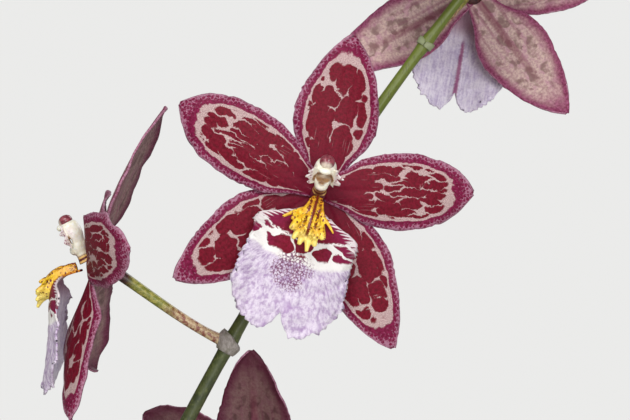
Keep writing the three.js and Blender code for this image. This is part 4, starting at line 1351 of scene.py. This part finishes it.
def makeSheaths(surface):
    # dry papery sheaths that clasp the lower half of each bulb, torn at their tips
    bm = bmesh.new()
    look = sheathLook
    wrap = math.radians(look["wrap"])
    for number, bulb in enumerate(bulbs.values()):
        for side, tall in look["shares"].items():

            def pointAt(u, v):
                turn = (0 if side > 0 else math.pi) + v * wrap * (1 - 0.8 * u ** 2)
                share = u * tall * (1 + 0.08 * wobble(v * 4, number, side))
                bulge = look["standOff"] + 0.05 * u * u
                radius = smooth(bulbLook["profile"], share) * bulge + 0.02
                crumple = 1 + 0.02 * wobble(turn * 5, u * 6, number)
                return Vector((
                    math.cos(turn) * bulb["halfWidth"] * radius * crumple * 1.03,
                    math.sin(turn) * bulb["halfDepth"] * radius * crumple,
                    share * bulb["height"],
                ))

            made = addBlade(bm, look["grid"], look["grid"], pointAt)
            bmesh.ops.transform(bm, matrix=bulbMatrix(bulb), verts=made)
    piece = makePiece(bm, "bulbSheaths", [surface])
    thicken(piece, look["thickness"])


def sheathSurface():
    s = Surface("paperySheath", Roughness=0.7)
    spot = s.place()
    fibre = s.noise(s.scaled(spot, (1.4, 1.4, 0.1)), 1.0, 4.0, 0.65)
    broad = s.noise(spot, 0.15, 2.0)
    color = s.blend(fibre.rise(0.3, 0.7), rgb(128, 104, 70), rgb(190, 170, 130))
    color = color.dyed(broad.rise(0.5, 0.7) * 0.5, 120, 118, 62)
    return s.finish(color, fibre, (0.6, 0.0005))


bulbSkin = bulbSurface()
for number, (name, bulb) in enumerate(bulbs.items()):
    makeBulb(name, bulb, number, bulbSkin)
makeSheaths(sheathSurface())
print("pseudobulbs made")


# roots

rootLook = {
    "rhizome": ((-33, -22, 84), (-29, 10, 84.5), (7, 3, 85), (38, -3, 86)),
    "rhizomeRadius": 5,
    "rhizomeSides": 18,
    "rhizomeSteps": 10,
    "rootRadius": 1.8,
    "rootSides": 14,
    "rootSteps": 12,
    "wriggle": (3.2, 0.22, 8),  # mm sideways, how fast it changes, steps to fade at each end
    "roots": (
        ((-29, 10, 86), (-26, 26, 94), (-22, 38, 96.5), (-19, 46, 91)),
        ((7, 3, 86), (14, -18, 94.5), (6, -36, 96.5), (-4, -49, 91)),
        ((38, -3, 87), (42, 14, 95), (34, 28, 96.5), (33, 36, 91)),
        ((-33, -22, 85), (-20, -30, 95), (-24, -38, 96.5), (-25, -43, 91)),
        ((7, 3, 86), (-8, -28, 95.5), (-14, -42, 97.5), (-10, -50, 93)),
        ((38, -3, 87), (34, -22, 95.5), (22, -38, 98), (16, -48, 93)),
        ((7, 3, 86), (4, 22, 95), (14, 34, 98), (12, 48, 93)),
    ),
}


def throughPoints(points, steps):
    # a smooth line through given points
    padded = [points[0], *points, points[-1]]
    padded = [Vector(point) for point in padded]
    line = []
    for k in range(len(points) - 1):
        a, b, c, d = padded[k:k + 4]
        for step in range(steps):
            t = step / steps
            line.append(0.5 * ((2 * b) + (c - a) * t + (2 * a - 5 * b + 4 * c - d) * t * t
                               + (3 * b - a - 3 * c + d) * t ** 3))
    line.append(padded[-2])
    return line


def rootSurface():
    s = Surface("rootVelamen", Roughness=0.65)
    spot = s.place()
    share, kind, _ = s.facts("root")
    fine = s.noise(spot, 1.2, 4.0, 0.65)
    color = s.blend(fine.rise(0.3, 0.7), rgb(162, 156, 134), rgb(216, 212, 196))
    color = color.dyed(share.rise(0.8, 1.0), 116, 132, 66)
    stain = s.noise(spot, 0.2, 2.0)
    color = color.dyed(stain.rise(0.5, 0.75) * 0.6, 128, 100, 66)
    color = color.dyed(kind, 96, 84, 44)
    return s.finish(color, fine, (0.5, 0.0004))


def makeRoots():
    bm = newMesh("root")
    look = rootLook
    line = throughPoints(look["rhizome"], look["rhizomeSteps"])
    radii = [look["rhizomeRadius"]] * len(line)
    addTube(bm, line, radii, look["rhizomeSides"], "root", lambda t, a: (0, 1, 0))
    sway, pace, fade = look["wriggle"]
    for number, points in enumerate(look["roots"]):
        line = throughPoints(points, look["rootSteps"])
        for k, point in enumerate(line):
            share = min(k / fade, 1) * min((len(line) - k) / fade, 1)
            aside = Vector((wobble(k * pace, number), wobble(k * pace, number, 5), 0))
            point += aside * sway * share
        radii = [look["rootRadius"]
                 * (1.15 - 0.4 * k / len(line) + 0.07 * wobble(k * 0.6, number, 9))
                 for k in range(len(line))]
        addTube(bm, line, radii, look["rootSides"], "root", lambda t, a: (t, 0, number))
    makePiece(bm, "roots", [rootSurface()], ["rhizome_and_roots"])


makeRoots()
print("roots made")


# pot

potLook = {
    # radius and height of each corner of the wall, from the foot round to the inside
    "profile": (
        (0, 0), (42.5, 0), (44.3, 0.7), (45, 2), (62.2, 92.4), (62.6, 93), (65.2, 93),
        (65.8, 93.6), (66, 94.6), (66, 111.8), (65.6, 113.2), (64.3, 114), (60.4, 114),
        (58.9, 113.4), (58.2, 112), (40.8, 7.5), (39.5, 6), (0, 6),
    ),
    "sides": 128,
    "drainHoles": 5,
    "drainRadius": 4.5,
    "drainCircle": 24,
}


def terracottaSurface():
    s = Surface("terracotta", Roughness=0.85)
    spot = s.place()
    _, _, z = s.split(spot)
    fine = s.noise(spot, 1.6, 4.0, 0.6)
    broad = s.noise(s.scaled(spot, (1.0, 1.0, 1.6)), 0.03, 4.0, 0.6)
    throwing = s.noise(s.scaled(spot, (0.02, 0.02, 1.0)), 0.7, 3.0, 0.6)
    color = s.blend(broad.rise(0.35, 0.65), rgb(168, 92, 62), rgb(196, 122, 88))
    color = color.dyed(throwing.rise(0.4, 0.65) * 0.35, 150, 80, 56)
    color = color.dyed(fine.rise(0.62, 0.72) * 0.5, 216, 160, 128)
    bloomed = s.noise(spot, 0.05, 4.0, 0.65).rise(0.52, 0.72)
    bloomed = bloomed * (z + (broad - 0.5) * 40.0).rise(70.0, 8.0)
    color = color.dyed(bloomed * 0.55, 214, 190, 172)
    rim = z.rise(108.0, 113.5) * fine.rise(0.4, 0.6)
    color = color.dyed(rim * 0.3, 210, 158, 130)
    return s.finish(color, fine * 0.6 + throwing, (0.5, 0.0006))


def makePot():
    look = potLook
    bm = bmesh.new()
    verts = [bm.verts.new((radius, 0, height)) for radius, height in look["profile"]]
    edges = [bm.edges.new(pair) for pair in zip(verts, verts[1:])]
    bmesh.ops.spin(bm, geom=verts + edges, cent=(0, 0, 0), axis=(0, 0, 1), angle=2 * math.pi,
                   steps=look["sides"], use_merge=True)
    bmesh.ops.remove_doubles(bm, verts=bm.verts, dist=0.01)
    bmesh.ops.recalc_face_normals(bm, faces=bm.faces)
    pot = makePiece(bm, "clayPot", [terracottaSurface()], ["pot"])

    cutter = bmesh.new()
    for k in range(look["drainHoles"]):
        turn = 2 * math.pi * (k + 0.5) / look["drainHoles"]
        way = Vector((math.cos(turn), math.sin(turn), 0))
        bmesh.ops.create_cone(cutter, cap_ends=True, segments=24, radius1=look["drainRadius"],
                              radius2=look["drainRadius"], depth=20,
                              matrix=Matrix.Translation(way * look["drainCircle"]))
    bmesh.ops.scale(cutter, vec=(mm, mm, mm), verts=cutter.verts)
    tool = addMesh(cutter, "drainCutter")
    cut = pot.modifiers.new("drains", "BOOLEAN")
    cut.object = tool
    cut.operation = "DIFFERENCE"
    cut.solver = "EXACT"
    settle(pot)
    bpy.data.objects.remove(tool)


makePot()
print("pot made")


# potting bark

barkLook = {
    "top": 94.2,
    "insideFoot": 40.2,
    "insideTop": 54.4,
    "bottom": 6.3,
    "chips": 330,
    # least and greatest values for each chip
    "sizes": ((7, 13), (5, 8.5), (2.6, 5)),  # length, width, thickness
    "scales": (0.55, 1.25),
    "tips": ((-0.5, 0.5), (-0.5, 0.5), (0, math.pi)),
    "lifts": (-4.5, 1.6),                    # mm over the top
    "jitters": (-0.16, 0.16),                # of each corner
    "bevel": 0.11,
    "turn": 137.5,                           # degrees from one chip to the next
    "seed": 5,
}


def barkSurface():
    s = Surface("pineBark", Roughness=0.9)
    spot = s.place()
    seed, _, _ = s.facts("chip")
    shift = s.joined(seed * 40.0, seed * 70.0, seed * 20.0)
    shifted = s.node("VectorMath", {"operation": "ADD"}, {0: spot, 1: shift})
    grain = s.noise(s.scaled(shifted, (0.5, 0.5, 1.6)), 0.9, 4.0, 0.65)
    fine = s.noise(shifted, 2.2, 3.0, 0.6)
    dark = s.blend(grain.rise(0.35, 0.7), rgb(58, 34, 22), rgb(112, 70, 44))
    light = s.blend(grain.rise(0.35, 0.7), rgb(112, 66, 40), rgb(168, 118, 76))
    color = s.blend(seed.rise(0.35, 0.9), dark, light)
    color = color.dyed(fine.rise(0.6, 0.72) * 0.35, 186, 146, 106)
    return s.finish(color, grain + fine * 0.4, (0.8, 0.0009))


def nearStem(x, y):
    # true where a chip would lie across a bulb or the spike's foot
    for bulb in bulbs.values():
        dx, dy = x - bulb["at"][0], y - bulb["at"][1]
        turn = math.radians(bulb["turn"])
        wide = (dx * math.cos(turn) + dy * math.sin(turn)) / (bulb["halfWidth"] + 3)
        deep = (dy * math.cos(turn) - dx * math.sin(turn)) / (bulb["halfDepth"] + 3)
        if wide * wide + deep * deep < 1:
            return True
    return math.hypot(x - spike["foot"][0], y - spike["foot"][1]) < 5


def makeBark():
    look = barkLook
    random.seed(look["seed"])
    bm = newMesh("chip")
    layer = bm.verts.layers.float_vector["chip"]
    rings = [Vector((0, 0, look["bottom"])), Vector((0, 0, look["top"] - 5))]
    radii = [look["insideFoot"], look["insideTop"] - 1]
    addTube(bm, rings, radii, 64, "chip", lambda t, a: (0.1, 0, 0))
    for k in range(look["chips"]):
        out = (look["insideTop"] - 3.5) * math.sqrt((k + 0.5) / look["chips"])
        turn = k * math.radians(look["turn"])
        x, y = out * math.cos(turn), out * math.sin(turn)
        size = random.uniform(*look["scales"])
        shape = [random.uniform(*limits) * size for limits in look["sizes"]]
        tip = [random.uniform(*limits) for limits in look["tips"]]
        height = random.uniform(*look["lifts"])
        tint = random.random()
        jitter = [Vector([random.uniform(*look["jitters"]) for _ in range(3)]) for _ in range(8)]
        if nearStem(x, y):
            continue
        chip = bmesh.ops.create_cube(bm, size=1)["verts"]
        for vert, shift in zip(chip, jitter):
            vert.co += shift
        edges = list({edge for vert in chip for edge in vert.link_edges})
        made = bmesh.ops.bevel(bm, geom=edges, offset=look["bevel"], affect="EDGES", segments=1,
                               profile=0.5, material=-1)
        verts = list({vert for face in made["faces"] for vert in face.verts})
        spin = Matrix.Rotation(tip[2], 4, "Z") @ Matrix.Rotation(tip[0], 4, "X")
        spin = spin @ Matrix.Rotation(tip[1], 4, "Y") @ Matrix.Diagonal((*shape, 1))
        place = Matrix.Translation((x, y, look["top"] + height)) @ spin
        bmesh.ops.transform(bm, matrix=place, verts=verts)
        for vert in verts:
            vert[layer] = (tint, 0, 0)
    makePiece(bm, "barkChips", [barkSurface()], ["bark"], shadeSmooth=False)


makeBark()
print("bark made")


# floor

def makeFloor(look):
    bm = bmesh.new()
    bmesh.ops.create_circle(bm, cap_ends=True, segments=96, radius=look["floorRadius"])
    floor = addMesh(bm, "studioFloor")
    s = Surface("studioPaper", Roughness=0.9)
    grain = s.noise(s.place(), 0.02, 2.0)
    color = s.blend(grain * 0.1, look["floorColor"], look["floorGrain"])
    floor.data.materials.append(s.finish(color))


makeFloor(studio)
